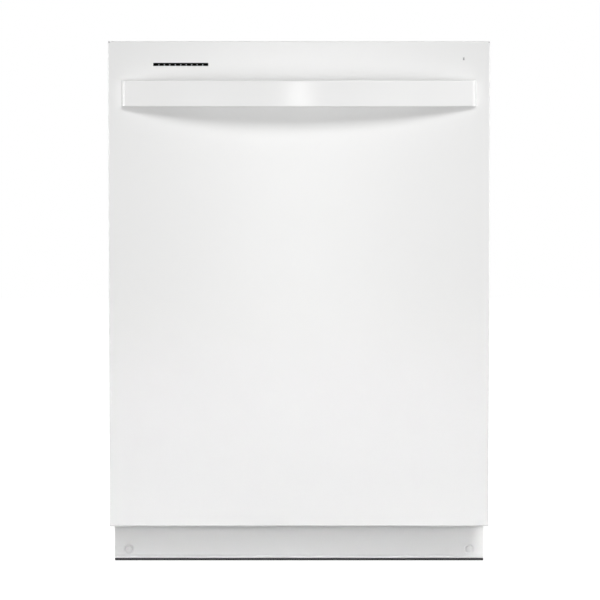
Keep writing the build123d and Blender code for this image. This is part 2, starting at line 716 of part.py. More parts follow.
def tub_back():
    """Back of the tub, with a pressed stiffening field."""
    sheet = u_shape(TUB_HALF + TUB_SHEET, TUB_TOP + TUB_SHEET, TUB_CORNER + TUB_SHEET, WALL_FOOT)
    back = along_y(sheet, Y_BACK, Y_BACK + TUB_SHEET)
    press = 4
    middle = (WALL_FOOT + TUB_TOP) / 2
    for side in (-1, 1):
        x = side * TUB_HALF / 2
        field = Pos(x, middle) * RectangleRounded(TUB_HALF - 70, TUB_TOP - WALL_FOOT - 120, 24)
        inset = offset(field, -TUB_SHEET)
        back += along_y(field, Y_BACK + TUB_SHEET, Y_BACK + TUB_SHEET + press)
        back -= along_y(inset, Y_BACK - 1, Y_BACK + press)
    return back


def tub_bottom():
    """Deep drawn bottom: a well with a wheel ledge on each side and a hole for the sump."""
    y_rear = Y_BACK + TUB_SHEET
    skin = TUB_SHEET
    outer = TUB_HALF + skin
    well = WELL_HALF + skin
    pan = block((-outer, outer), (Y_TUB + skin, y_rear), (LEDGE_Z - skin, WALL_FOOT))
    pan += block((-well, well), (Y_TUB + skin, y_rear), (TUB_FLOOR - skin, LEDGE_Z))
    pan -= block((-TUB_HALF, TUB_HALF), (Y_TUB + 2 * skin, Y_BACK), (LEDGE_Z, WALL_FOOT + 1))
    well_cut = block((-WELL_HALF, WELL_HALF), (Y_TUB + 2 * skin, Y_BACK), (TUB_FLOOR, WALL_FOOT))
    pan -= rounded(well_cut, Axis.Z, 20)
    low = TUB_FLOOR - 2 * skin
    pan -= rod((0, Y_SPRAY, low), (0, Y_SPRAY, LEDGE_Z), SUMP_RADIUS + 4)
    pan -= rod((FLOAT_X, FLOAT_Y, low), (FLOAT_X, FLOAT_Y, LEDGE_Z), FLOAT_STEM + PLAY)
    pan -= feed_riser(PLAY) - block((-HALF, HALF), (0, Y_REAR), (LEDGE_Z, DOOR_TOP))
    for x, y in heater_legs():
        pan -= rod((x, y, low), (x, y, LEDGE_Z), HEATER_FITTING + PLAY)
    front = (Y_TUB, Y_TUB + 3 * skin)
    pan -= block((-WELL_HALF, WELL_HALF), front, (LEDGE_Z + LIP_HEIGHT, WALL_FOOT + 1))
    for side in (-1, 1):
        pan -= block(sorted((side * WELL_HALF, side * TUB_HALF)), front, (LEDGE_Z, WALL_FOOT + 1))
    return pan


def tub_frame():
    """Folded frame round the mouth of the tub, which carries the gasket."""
    half = FRAME_HALF
    outer = u_shape(half, FRAME_TOP, 8, FRAME_FOOT)
    inner = u_shape(TUB_HALF, TUB_TOP, TUB_CORNER, FRAME_FOOT - 1)
    face = along_y(outer - inner, Y_TUB, Y_TUB + TUB_SHEET)
    hem = u_shape(half - TUB_SHEET, FRAME_TOP - TUB_SHEET, 8 - TUB_SHEET, FRAME_FOOT - 1)
    return face + along_y(outer - hem, Y_TUB + TUB_SHEET, Y_TUB + FRAME_DEPTH)


def tub_gasket():
    """Rubber bulb seal up both sides and across the top of the mouth."""
    inner = TUB_HALF + 1
    outer = inner + GASKET_WIDTH
    top = TUB_TOP + 1
    ring = u_shape(outer, top + GASKET_WIDTH, TUB_CORNER, FRAME_FOOT + 2)
    ring -= u_shape(inner, top, TUB_CORNER - GASKET_WIDTH, FRAME_FOOT)
    seal = along_y(ring, Y_LINER + PLAY, Y_TUB)
    front = seal.faces().sort_by(Axis.Y)[0]
    return fillet(front.edges(), GASKET_WIDTH / 3)


def tub_blanket():
    """Sound blanket over the sides, the top and the back of the tub."""
    half = TUB_HALF + TUB_SHEET + PLAY
    top = TUB_TOP + TUB_SHEET + PLAY
    y_low = Y_TUB + FRAME_DEPTH + 4
    y_high = Y_BACK + TUB_SHEET + 5
    outer = u_shape(half + BLANKET, top + BLANKET, TUB_CORNER + BLANKET, WALL_FOOT)
    inner = u_shape(half, top, TUB_CORNER, WALL_FOOT - 1)
    wrap = along_y(outer - inner, y_low, y_high)
    return wrap + along_y(outer, y_high, y_high + BLANKET)


def counter_brackets():
    """Two tabs on the frame that are screwed up into the worktop."""
    x = BRACKET_SPACING / 2
    sheet = TUB_SHEET
    y_riser = Y_TUB + FRAME_DEPTH - 2
    foot = block((x - 18, x + 18), (Y_TUB + sheet, y_riser), (FRAME_TOP, FRAME_TOP + sheet))
    riser = block((x - 18, x + 18), (y_riser, y_riser + sheet), (FRAME_TOP, DOOR_TOP))
    shelf = block((x - 18, x + 18), (y_riser, y_riser + 34), (DOOR_TOP - sheet, DOOR_TOP))
    bracket = foot + riser + shelf
    bracket -= rod((x, bracket_hole_y(), DOOR_TOP - 5), (x, bracket_hole_y(), DOOR_TOP + 5), BRACKET_HOLE)
    return both(bracket)


def bracket_hole_y():
    """Depth of the screw holes in the worktop brackets."""
    return Y_TUB + FRAME_DEPTH + 20


# Base


def base_frame():
    """Moulded base: four ribbed walls, a shelf under the tub, foot bosses and roller ears."""
    base = block((-BASE_HALF, BASE_HALF), (Y_BASE, Y_REAR), (BASE_FLOOR, BASE_TOP))
    inner_y = (Y_BASE + BASE_WALL, Y_REAR - BASE_WALL)
    base = rounded(base, Axis.Z, BASE_WALL / 2)
    base -= block((-BASE_INNER, BASE_INNER), inner_y, (0, BASE_TOP + 1))
    window_low = BASE_FLOOR + 26
    window_high = BASE_TOP - 18
    base -= block((-WINDOW_HALF, WINDOW_HALF), (Y_BASE - 1, Y_REAR + 1), (window_low, window_high))
    for low, high in side_bays():
        bay = block((-HALF, HALF), (low + 12, high - 12), (window_low + 8, window_high))
        base -= rounded(bay, Axis.X, 8)
    shelf_low = BASE_TOP - BASE_WALL
    shelf = block((-BASE_INNER, BASE_INNER), inner_y, (shelf_low, BASE_TOP))
    shelf_y = (inner_y[0] + SHELF_FRONT, inner_y[1] - SHELF_REAR)
    shelf -= block((-SHELF_HALF, SHELF_HALF), shelf_y, (0, DOOR_TOP))
    for side in (-1, 1):
        edge = sorted((side * SPRING_BAY, side * HALF))
        shelf -= block(edge, (Y_BASE - 1, spring_anchor()[0] + 20), (0, DOOR_TOP))
    base += shelf
    for side in (-1, 1):
        corner = sorted((side * SPRING_BAY, side * BASE_INNER))
        notch = (Z_HINGE - HINGE_EAR - 41, BASE_TOP + 1)
        base -= block(corner, (Y_BASE - 1, Y_BASE + 2 * BASE_WALL), notch)
    base -= feed_riser(PLAY)
    base -= rod((FLOAT_X, FLOAT_Y, shelf_low - 1), (FLOAT_X, FLOAT_Y, DOOR_TOP), FLOAT_STEM + PLAY)
    for x, y in heater_legs():
        base -= rod((x, y, shelf_low - 1), (x, y, DOOR_TOP), HEATER_FITTING + PLAY)
    for x, y in foot_places():
        base += rod((x, y, BASE_FLOOR), (x, y, BASE_TOP - 1), FOOT_STEM + 7)
        base += block((x - 2, x + 2), (Y_BASE + 1, y), (BASE_FLOOR, BASE_TOP - 1))
        base -= rod((x, y, 0), (x, y, BASE_FLOOR + FOOT_BORE), FOOT_STEM + RUN_FIT)
    for low, high in side_bays()[1:]:
        for side in (-1, 1):
            gusset = sorted((side * SHELF_HALF, side * BASE_INNER))
            base += block(gusset, (low - BASE_WALL / 2, low + BASE_WALL / 2), (BASE_TOP - 40, BASE_TOP - 1))
    for x in roller_ears():
        half = BASE_WALL / 2
        ear = block((x - half, x + half), (ROLLER_Y - 16, ROLLER_Y + 16), (6, BASE_TOP - 1))
        bore = rod((x - 5, ROLLER_Y, ROLLER_RADIUS), (x + 5, ROLLER_Y, ROLLER_RADIUS), AXLE + RUN_FIT)
        base += ear - bore
    y_peg, z_peg = spring_anchor()
    for side in (-1, 1):
        base += rod((side * (SPRING_X - 2), y_peg, z_peg), (side * (BASE_INNER + 1), y_peg, z_peg), PEG)
        web = sorted((side * (SPRING_X + 5), side * (BASE_INNER + 1)))
        base += block(web, (y_peg - PEG, y_peg + 24), (BASE_FLOOR, z_peg + PEG))
    return base


def side_bays():
    """Bays between the ribs of a side wall, front to rear."""
    ends = spread(spring_anchor()[0] + 130, Y_REAR - 50, 3)
    return list(zip(ends[:-1], ends[1:]))


def foot_places():
    """Middles of the two front feet."""
    return [(side * FOOT_X, Y_BASE + FOOT_SETBACK) for side in (-1, 1)]


def front_foot(place):
    """Levelling foot: a round pad, a hexagon for the wrench and a long stem."""
    x, y = place
    pad = rod((x, y, 0), (x, y, 5), FOOT_RADIUS)
    pad = chamfer(pad.edges().sort_by(Axis.Z)[-1], 1.5)
    nut = Pos(x, y, 5) * extrude(RegularPolygon(FOOT_STEM + 4, 6), BASE_FLOOR - 5 - PLAY)
    return pad + nut + rod((x, y, BASE_FLOOR - 1), (x, y, BASE_FLOOR + FOOT_BORE - 8), FOOT_STEM)


def roller_ears():
    """Places across the base of the plates that hold the rear axle."""
    gap = ROLLER_WIDTH / 2 + 4
    return [side * x for side in (-1, 1) for x in (ROLLER_X - gap, ROLLER_X + gap)]


def rear_rollers():
    """Two rollers on one axle across the rear of the base."""
    reach = ROLLER_X + ROLLER_WIDTH / 2 + 10
    axle = rod((-reach, ROLLER_Y, ROLLER_RADIUS), (reach, ROLLER_Y, ROLLER_RADIUS), AXLE)
    for x in (-ROLLER_X, ROLLER_X):
        ends = (x - ROLLER_WIDTH / 2, x + ROLLER_WIDTH / 2)
        roller = rod((ends[0], ROLLER_Y, ROLLER_RADIUS), (ends[1], ROLLER_Y, ROLLER_RADIUS), ROLLER_RADIUS)
        axle += chamfer(roller.edges().filter_by(GeomType.CIRCLE), 2)
    return axle


def access_panel():
    """Painted panel below the door, with dished seats for its two screws."""
    half = HALF - TOE_PANEL_HALF_GAP
    panel = block((-half, half), (Y_TOE, Y_BASE), (ACCESS_FOOT, ACCESS_TOP))
    inner = half - SKIN
    panel -= block((-inner, inner), (Y_TOE + SKIN, Y_BASE + 1), (ACCESS_FOOT - 1, ACCESS_TOP - SKIN))
    for x in (-TOE_SCREW_X, TOE_SCREW_X):
        panel += screw_dish(x, SKIN, 0)
        panel -= screw_dish(x, 0, SKIN / 50)
        panel -= rod((x, Y_TOE - 1, TOE_SCREW_Z), (x, Y_BASE, TOE_SCREW_Z), TOE_SCREW + PLAY)
    return panel


def screw_dish(x, wall, over):
    """Cone of a dished screw seat, grown by a wall on its rear and by a little over its front."""
    seat = plane_at((x, Y_TOE + DISH_DEPTH + wall, TOE_SCREW_Z), (x, Y_TOE, TOE_SCREW_Z))[0]
    low = Align.CENTER, Align.CENTER, Align.MIN
    return seat * Cone(DISH_FLOOR + wall, DISH_RADIUS + wall, DISH_DEPTH + wall + over, align=low)


def access_panel_screws():
    """Pan head screw at each lower corner of the access panel, run into a lug behind it."""
    screws = []
    for x in (-TOE_SCREW_X, TOE_SCREW_X):
        y_seat = Y_TOE + DISH_DEPTH
        head = rod((x, y_seat - 2.4, TOE_SCREW_Z), (x, y_seat, TOE_SCREW_Z), 5.2)
        head = fillet(head.edges().sort_by(Axis.Y)[0], 1.6)
        for wide, tall in ((3.5, 0.7), (0.7, 3.5)):
            recess = (TOE_SCREW_Z - tall, TOE_SCREW_Z + tall)
            head -= block((x - wide, x + wide), (y_seat - 3, y_seat - 1.3), recess)
        screws.append(head + rod((x, y_seat, TOE_SCREW_Z), (x, Y_BASE - PLAY, TOE_SCREW_Z), TOE_SCREW))
    return screws


def toe_panel():
    """Lower panel behind the access panel, with a rolled lip along its foot."""
    half = HALF - TOE_PANEL_HALF_GAP - SKIN - PLAY
    y_front = Y_TOE + DISH_DEPTH + SKIN + PLAY
    sheet = block((-half, half), (y_front, y_front + SKIN), (LIP_FOOT, ACCESS_TOP / 2))
    for x in (-TOE_SCREW_X, TOE_SCREW_X):
        sheet -= block((x - 4, x + 4), (y_front - 1, y_front + 2 * SKIN), (TOE_SCREW_Z - 6, ACCESS_TOP / 3))
    full = HALF - TOE_PANEL_HALF_GAP
    lip = block((-full, full), (Y_TOE - LIP_REACH, y_front + SKIN), (LIP_FOOT, ACCESS_FOOT - PLAY))
    return sheet + fillet(lip.faces().sort_by(Axis.Y)[0].edges().filter_by(Axis.X), 1.2)


def toe_seal():
    """Rubber strip that closes the gap to the floor, with a short upright at each end."""
    half = HALF - TOE_PANEL_HALF_GAP
    strip = block((-half, half), (Y_TOE, Y_BASE - 2), (PLAY, LIP_FOOT))
    return rounded(strip, Axis.Y, 1)


# Water works


def sump():
    """Round bowl under the tub with the post that the lower arm turns on and a stub for each pump."""
    flange = rod((0, Y_SPRAY, BASE_TOP - 3), (0, Y_SPRAY, BASE_TOP), SUMP_RADIUS + 12)
    low = BASE_TOP - SUMP_DEPTH
    bowl = flange + rod((0, Y_SPRAY, low), (0, Y_SPRAY, BASE_TOP - 3), SUMP_RADIUS)
    for side in (-1, 1):
        bowl += rod((0, Y_SPRAY, pump_z()), (side * pump_x(), Y_SPRAY, pump_z()), STUB)
    bowl -= rod((0, Y_SPRAY, low + MOULDING), (0, Y_SPRAY, BASE_TOP + 1), SUMP_RADIUS - MOULDING)
    bowl += rod((0, Y_SPRAY, low), (0, Y_SPRAY, arm_seat()), POST_RADIUS)
    return bowl + rod((0, Y_SPRAY, low), (0, Y_SPRAY, arm_seat() + SPIGOT_HEIGHT), SPIGOT_RADIUS)


def pump_z():
    """Height of the pump shafts."""
    return BASE_TOP - SUMP_DEPTH + STUB + 3


def pump_x():
    """Distance from the middle of the sump to the face of each pump stub."""
    return SUMP_RADIUS + 12


def arm_seat():
    """Height of the shoulder that the lower spray arm sits on."""
    return LEDGE_Z + 2


def wash_pump():
    """Circulation pump: a volute, a finned motor and its end cap."""
    x = -pump_x()
    y, z = Y_SPRAY, pump_z()
    volute = rod((x, y, z), (x - 30, y, z), MOTOR + 4)
    volute = fillet(volute.edges().filter_by(GeomType.CIRCLE), 4)
    motor = volute + rod((x - 30, y, z), (x - 120, y, z), MOTOR - 4)
    for step in range(5):
        start = x - 44 - 14 * step
        motor += rod((start, y, z), (start - 5, y, z), MOTOR)
    return motor + rod((x - 120, y, z), (x - 128, y, z), MOTOR / 2)


def drain_pump():
    """Small pump with the outlet spigot that the drain hose goes on."""
    x = pump_x()
    y, z = Y_SPRAY, pump_z()
    pump = rod((x, y, z), (x + 24, y, z), STUB + 4) + rod((x + 24, y, z), (x + 66, y, z), STUB - 2)
    x_out = x + 12
    pump += rod((x_out, y, z), (x_out, y + DRAIN_REACH, z), DRAIN_RADIUS)
    y_stop = y + STUB + DRAIN_STOP
    pump += rod((x_out, y + STUB, z), (x_out, y_stop + DRAIN_STOP, z), DRAIN_RADIUS + DRAIN_STOP)
    pump -= rod((x_out, y + STUB, z), (x_out, y + DRAIN_REACH + 1, z), DRAIN_RADIUS - MOULDING)
    return pump


def heater_legs():
    """Middles of the two fittings where the heater's ends pass through the floor."""
    x = HEATER_GAP / 2
    y = Y_SPRAY - (HEATER_REACH**2 - x**2) ** 0.5
    return [(-x, y), (x, y)]


def heater():
    """Tubular heating ring above the tub's floor, on two fittings through it."""
    z = TUB_FLOOR + HEATER_LIFT
    gap = degrees(asin(HEATER_GAP / 2 / HEATER_REACH))
    section = Plane.XZ * Pos(HEATER_REACH, 0) * Circle(HEATER_TUBE)
    ring = Pos(0, Y_SPRAY, z) * Rot(0, 0, gap - 90) * revolve(section, Axis.Z, 360 - 2 * gap)
    for x, y in heater_legs():
        ring += rod((x, y, BASE_TOP - 12), (x, y, z + HEATER_FITTING), HEATER_FITTING)
    return ring


def fine_filter():
    """Perforated plate over the sump, round the post and the filter cup."""
    radius = SUMP_RADIUS + 4 - PLAY
    plate = rod((0, Y_SPRAY, BASE_TOP), (0, Y_SPRAY, BASE_TOP + 1.5), radius)
    plate -= rod((0, Y_SPRAY, 0), (0, Y_SPRAY, DOOR_TOP), POST_RADIUS + PLAY)
    x, y = filter_place()
    return plate - rod((x, y, 0), (x, y, DOOR_TOP), FILTER_RADIUS + PLAY)


def filter_place():
    """Middle of the filter cup, beside the post."""
    reach = (SUMP_RADIUS + POST_RADIUS) / 2 / 2**0.5
    return reach, Y_SPRAY - reach


def filter_cup():
    """Twist-out cup with open sides, a collar and a grip."""
    x, y = filter_place()
    low = BASE_TOP - SUMP_DEPTH + MOULDING + 3
    top = BASE_TOP + 1.5
    cup = rod((x, y, low), (x, y, top), FILTER_RADIUS)
    cup -= rod((x, y, low + MOULDING), (x, y, top + 1), FILTER_RADIUS - MOULDING)
    collar = rod((x, y, top), (x, y, top + 2.5), FILTER_RADIUS + 5)
    collar -= rod((x, y, top - 1), (x, y, top + 5), FILTER_RADIUS - 12)
    for angle in (0, 90):
        window = Pos(x, y, 0) * Rot(0, 0, angle + 45) * block(
            (-FILTER_RADIUS - 9, FILTER_RADIUS + 9), (-14, 14), (low + 9, top - 9)
        )
        cup -= window
    grip = block((x - FILTER_RADIUS + 8, x + FILTER_RADIUS - 8), (y - 3, y + 3), (top, top + 9))
    return cup + collar + rounded(grip, Axis.Z, 2)


def spray_arm(reach, bore, z_low, sweep_back):
    """Two swept blades on a hub, with a row of jets along the top of each."""
    tip = 13
    hub = bore + 13
    blades = Sketch()
    for side in (-1, 1):
        root = Circle(hub)
        end = Pos(side * (reach - tip), side * sweep_back) * Circle(tip)
        blades += make_hull(root.edges() + end.edges())
    body = extrude(blades, ARM_THICK)
    body = fillet(body.faces().sort_by(Axis.Z)[-1].edges(), 2.5)
    for side in (-1, 1):
        for share in spread(0.3, 0.92, 5):
            x = side * share * (reach - tip)
            body -= Pos(x, side * share * sweep_back, ARM_THICK) * Cylinder(2, 5)
    return Pos(0, Y_SPRAY, z_low) * body


def lower_spray_arm():
    """Lower arm, seated on the post of the sump."""
    z = arm_seat() + PLAY
    arm = spray_arm(LOWER_ARM_REACH, SPIGOT_RADIUS, z + 3, 22)
    arm += rod((0, Y_SPRAY, z), (0, Y_SPRAY, z + SPIGOT_HEIGHT + 3), SPIGOT_RADIUS + 9)
    return arm - rod((0, Y_SPRAY, z - 1), (0, Y_SPRAY, z + SPIGOT_HEIGHT), SPIGOT_RADIUS + RUN_FIT)


def upper_spray_arm():
    """Upper arm, hung on the spigot under the upper rack."""
    z_top = manifold_low() - PLAY
    arm = spray_arm(UPPER_ARM_REACH, UPPER_SPIGOT, z_top - ARM_THICK - 2, -20)
    arm += rod((0, Y_SPRAY, z_top - SPIGOT_HEIGHT - 3), (0, Y_SPRAY, z_top), UPPER_SPIGOT + 8)
    arm -= rod((0, Y_SPRAY, z_top - SPIGOT_HEIGHT), (0, Y_SPRAY, z_top + 1), UPPER_SPIGOT + RUN_FIT)
    return arm


def manifold_low():
    """Underside of the water pipe below the upper rack."""
    return UPPER_FLOOR - 3 * WIRE - MANIFOLD


def upper_manifold():
    """Flat water pipe under the upper rack, from the rear dock to the arm's spigot."""
    z = manifold_low()
    pipe = block((-MANIFOLD, MANIFOLD), (Y_SPRAY, Y_RACK_REAR - 4), (z, z + MANIFOLD))
    pipe += rod((0, Y_SPRAY, z), (0, Y_SPRAY, z + MANIFOLD), MANIFOLD)
    pipe = fillet(pipe.faces().sort_by(Axis.Z)[0].edges(), 3)
    pipe += rod((0, Y_RACK_REAR - 4, dock_z()), (0, dock_y() - 1, dock_z()), DOCK - 1)
    return pipe + rod((0, Y_SPRAY, z - SPIGOT_HEIGHT + 1), (0, Y_SPRAY, z + 1), UPPER_SPIGOT)


def dock_z():
    """Height of the port that feeds the upper rack."""
    return manifold_low() + MANIFOLD / 2


def dock_y():
    """Front of the port that feeds the upper rack."""
    return Y_RACK_REAR + 4


def feed_riser(gap):
    """Upright run of the feed duct, from under the floor to the ceiling, wider by gap all round."""
    half = FEED_WIDTH / 2 + gap
    y_back = Y_BACK - PLAY
    return block((-half, half), (y_back - FEED_DEPTH - gap, y_back + gap), (feed_low(), TUB_TOP - PLAY))


def feed_low():
    """Underside of the feed duct below the tub's floor."""
    return BASE_TOP - 2 * FEED_DEPTH


def feed_tube():
    """Flat moulded duct from the sump up the back of the tub and forward under its ceiling."""
    half = FEED_WIDTH / 2
    y_back = Y_BACK - PLAY
    low = feed_low()
    duct = rounded(feed_riser(0), Axis.Z, FEED_BEND)
    duct += block((-half, half), (Y_SPRAY + SUMP_RADIUS, y_back - FEED_BEND), (low, low + FEED_DEPTH))
    top = TUB_TOP - PLAY
    duct += block((-half, half), (Y_SPRAY, y_back - FEED_BEND), (top - FEED_DEPTH, top))
    duct += rod((0, Y_SPRAY, top - FEED_DEPTH - 6), (0, Y_SPRAY, top), FEED_WIDTH)
    y_front = y_back - FEED_DEPTH
    duct += rod((0, y_front + 2, dock_z()), (0, dock_y(), dock_z()), DOCK + MOULDING)
    return duct - rod((0, y_front + 4, dock_z()), (0, dock_y() - 1, dock_z()), DOCK)


def overfill_float():
    """Float dome on a stem that slides through the tub's floor."""
    low = TUB_FLOOR + PLAY
    dome = rod((FLOAT_X, FLOAT_Y, low), (FLOAT_X, FLOAT_Y, low + FLOAT_HEIGHT), FLOAT_RADIUS)
    dome = fillet(dome.edges().sort_by(Axis.Z)[-1], 8)
    inside = low + FLOAT_HEIGHT - 8
    dome -= rod((FLOAT_X, FLOAT_Y, low - 1), (FLOAT_X, FLOAT_Y, inside), FLOAT_RADIUS - MOULDING)
    stem_top = inside + 4
    return dome + rod((FLOAT_X, FLOAT_Y, TUB_FLOOR - 24), (FLOAT_X, FLOAT_Y, stem_top), FLOAT_STEM)


def inlet_valve():
    """Water valve on the left wall of the base: body, coil and an inlet that faces down."""
    x_wall = -BASE_INNER
    x = x_wall + 28
    y = spring_anchor()[0] + 50
    z_low, z_high = VALVE_Z - 16, VALVE_Z + 16
    body = block((x_wall, x_wall + 56), (y - 20, y + 20), (z_low, z_high))
    body = rounded(body, Axis.Z, 3)
    coil = rod((x, y, z_high), (x, y, z_high + 20), 15)
    port = rod((x, y, z_low), (x, y, z_low - INLET_LENGTH), INLET_RADIUS)
    bore = rod((x, y, z_low + 6), (x, y, z_low - INLET_LENGTH - 1), INLET_RADIUS - MOULDING)
    return body + coil + port - bore


def junction_box():
    """Steel wiring box behind the access panel, with a cable hole at the rear."""
    y_low = Y_BASE + BASE_WALL
    x_high = FOOT_X - FOOT_STEM - 11
    x_low = x_high - 65
    z_low, z_high = VALVE_Z - 30, VALVE_Z + 30
    box = block((x_low, x_high), (y_low, y_low + BOX_DEPTH), (z_low, z_high))
    hollow = block(
        (x_low + TUB_SHEET, x_high - TUB_SHEET),
        (y_low + TUB_SHEET, y_low + BOX_DEPTH - TUB_SHEET),
        (z_low + TUB_SHEET, z_high - TUB_SHEET),
    )
    x_hole = (x_low + x_high) / 2
    y_hole = y_low + BOX_DEPTH
    return box - hollow - rod((x_hole, y_hole - 5, VALVE_Z), (x_hole, y_hole + 5, VALVE_Z), CABLE_HOLE)


# Racks


def rack_basket(half, z_floor, height, cross):
    """Open wire basket: a floor grid, four walls of upright wires and a heavier rim.

    Args: half width, height of the floor wires, height of the walls, and how many wires run across.
    """
    front, rear = Y_RACK_FRONT, Y_RACK_REAR
    z_rim = z_floor + height
    wires = []
    ys = cross_wires(cross)
    xs = spread(-half + RACK_PITCH, half - RACK_PITCH, RACK_RUN_COUNT)
    for y in ys:
        wires.append(wire((-half, y, z_floor), (half, y, z_floor)))
    for x in xs:
        wires.append(wire((x, front, z_floor - 2 * WIRE), (x, rear, z_floor - 2 * WIRE)))
    for side in (-1, 1):
        inner = side * (half - WIRE)
        for y in ys:
            wires.append(wire((inner, y, z_floor), (inner, y, z_rim)))
        for x in xs:
            y_wall = front + WIRE if side < 0 else rear - WIRE
            wires.append(wire((x, y_wall, z_floor - 2 * WIRE), (x, y_wall, z_rim)))
    for z in (z_floor, z_floor + height / 2):
        wires += wire_loop(half, z, WIRE)
    return wires + wire_loop(half, z_rim, RIM_WIRE)


def cross_wires(count):
    """Depths of the floor wires that run across a rack."""
    return spread(Y_RACK_FRONT + RACK_PITCH, Y_RACK_REAR - RACK_PITCH, count)


def wire_loop(half, z, radius):
    """Level wire round a basket, in four runs and four bends."""
    bend = RACK_BEND
    front, rear = Y_RACK_FRONT - radius, Y_RACK_REAR + radius
    side = half + radius
    loop = [
        wire((-side + bend, front, z), (side - bend, front, z), radius),
        wire((-side + bend, rear, z), (side - bend, rear, z), radius),
        wire((-side, front + bend, z), (-side, rear - bend, z), radius),
        wire((side, front + bend, z), (side, rear - bend, z), radius),
    ]
    for x in (-1, 1):
        for y, edge in ((-1, front), (1, rear)):
            centre = (x * (side - bend), edge - y * bend, z)
            start = {(1, 1): 0, (-1, 1): 90, (-1, -1): 180, (1, -1): 270}[(x, y)]
            section = Pos(bend, 0, 0) * Rot(90, 0, 0) * RegularPolygon(radius, 8)
            corner = revolve(section, Axis.Z, 90)
            loop.append(Pos(*centre) * Rot(0, 0, start) * corner)
    return loop


def tine_rows(half, z_floor, ys, count, height, lean):
    """Rows of upright tines that stand on the floor wires."""
    tines = []
    for y in ys:
        for x in spread(-half, half, count):
            tines.append(wire((x, y, z_floor), (x, y + lean, z_floor + height), WIRE * 0.8))
    return tines


def lower_rack():
    """Lower basket with rows of plate tines and the hangers of its wheels."""
    wires = rack_basket(LOWER_HALF, LOWER_FLOOR, LOWER_RACK_HEIGHT, LOWER_WIRE_COUNT)
    rows = cross_wires(LOWER_WIRE_COUNT)[3::2]
    wires += tine_rows(LOWER_HALF - 40, LOWER_FLOOR, rows, 9, TINE_LOWER, 14)
    for y in wheel_places():
        for side in (-1, 1):
            wires.append(wheel_hanger(side, y))
    return wires


def wheel_places():
    """Depths of the lower rack's front and rear wheels."""
    return Y_RACK_FRONT + WHEEL_SETBACK, Y_RACK_REAR - WHEEL_SETBACK / 2


def wheel_axle_z():
    """Height of the lower wheels' axles."""
    return LEDGE_Z + PLAY + WHEEL_RADIUS


def wheel_hanger(side, y):
    """Moulded lug under the lower rack with the stub axle of one wheel."""
    z = wheel_axle_z()
    inner = LOWER_HALF + WIRE
    width = sorted((side * (inner - 6), side * (WELL_HALF + 1)))
    lug = block(width, (y - 9, y + 9), (z - 7, LOWER_FLOOR - WIRE))
    lug = rounded(lug, Axis.X, 2)
    return lug + rod((side * inner, y, z), (side * (TUB_HALF - 1), y, z), AXLE)


def lower_wheels(y):
    """Left and right wheel of the lower rack on one axis."""
    z = wheel_axle_z()
    inner, outer = WELL_HALF + 2, TUB_HALF - 2
    wheel = rod((inner, y, z), (outer, y, z), WHEEL_RADIUS)
    wheel = chamfer(wheel.edges().filter_by(GeomType.CIRCLE), 1.5)
    groove = rod((outer - 3, y, z), (outer + 1, y, z), WHEEL_RADIUS - 4)
    wheel -= groove - rod((0, y, z), (HALF, y, z), AXLE + 4)
    wheel -= rod((0, y, z), (HALF, y, z), AXLE + RUN_FIT)
    return both(wheel)


def silverware_basket():
    """Cutlery basket: three bays with slotted walls and a carrying handle."""
    half = BASKET_LENGTH / 2
    y0 = Y_RACK_FRONT + 2 * WIRE + PLAY + 6
    y1 = y0 + BASKET_DEPTH
    z0 = LOWER_FLOOR + WIRE + PLAY
    z1 = z0 + BASKET_HEIGHT
    basket = rounded(block((-half, half), (y0, y1), (z0, z1)), Axis.Z, 8)
    bay = (BASKET_LENGTH - 4 * MOULDING) / 3
    for i in range(3):
        x = -half + MOULDING + i * (bay + MOULDING)
        cell = block((x, x + bay), (y0 + MOULDING, y1 - MOULDING), (z0 + MOULDING, z1 + 1))
        basket -= rounded(cell, Axis.Z, 5)
        for low in spread(x + 8, x + bay - 18, 4):
            for z in (z0 + 14, z0 + 64):
                basket -= block((low, low + 10), (y0 - 1, y1 + 1), (z, z + 38))
    mid = (y0 + y1) / 2
    grip = block((-bay / 2, bay / 2), (mid - 3, mid + 3), (z1 - 20, z1 + GRIP_RISE))
    grip -= block((-bay / 2 + 9, bay / 2 - 9), (mid - 9, mid + 9), (z1 - 30, z1 + GRIP_RISE - 12))
    posts = block((-bay / 2 - MOULDING, bay / 2 + MOULDING), (mid - 3, mid + 3), (z1 - 20, z1 - 4))
    posts -= block((-bay / 2 + 1, bay / 2 - 1), (mid - 9, mid + 9), (z0, z1))
    return basket + rounded(grip, Axis.Y, 4) + posts


def upper_rack():
    """Upper basket with short tines down the middle."""
    wires = rack_basket(UPPER_HALF, UPPER_FLOOR, UPPER_RACK_HEIGHT, UPPER_WIRE_COUNT)
    rows = cross_wires(UPPER_WIRE_COUNT)[1:-1]
    return wires + tine_rows(UPPER_HALF / 3, UPPER_FLOOR, rows, 3, TINE_UPPER, 8)


def rail_inner():
    """Side of the rails that faces the upper rack."""
    return TUB_HALF - 3 - RAIL_WIDTH


def rail_web():
    """Inner face of the upright web in the middle of a rail."""
    return rail_inner() + RAIL_WIDTH / 2 - RAIL_SHEET / 2


def rail_front():
    """Front end of the rails."""
    return Y_RACK_FRONT - RAIL_GAP


def upper_rails():
    """Steel runner on each side, with an inner track for the rack and an outer one for the tub's guides."""
    low, high = RAIL_Z - RAIL_HEIGHT / 2, RAIL_Z + RAIL_HEIGHT / 2
    inner = rail_inner()
    y = (rail_front(), Y_RACK_REAR - RAIL_GAP)
    rail = block((inner, inner + RAIL_WIDTH), y, (low, high))
    web = rail_web()
    for track in ((inner - 1, web), (web + RAIL_SHEET, inner + RAIL_WIDTH + 1)):
        rail -= block(track, (y[0] - 1, y[1] + 1), (low + RAIL_SHEET, high - RAIL_SHEET))
    return both(rail)


def runner_radius():
    """Radius of the rounded runners in the rails."""
    return RAIL_HEIGHT / 2 - RAIL_SHEET - PLAY


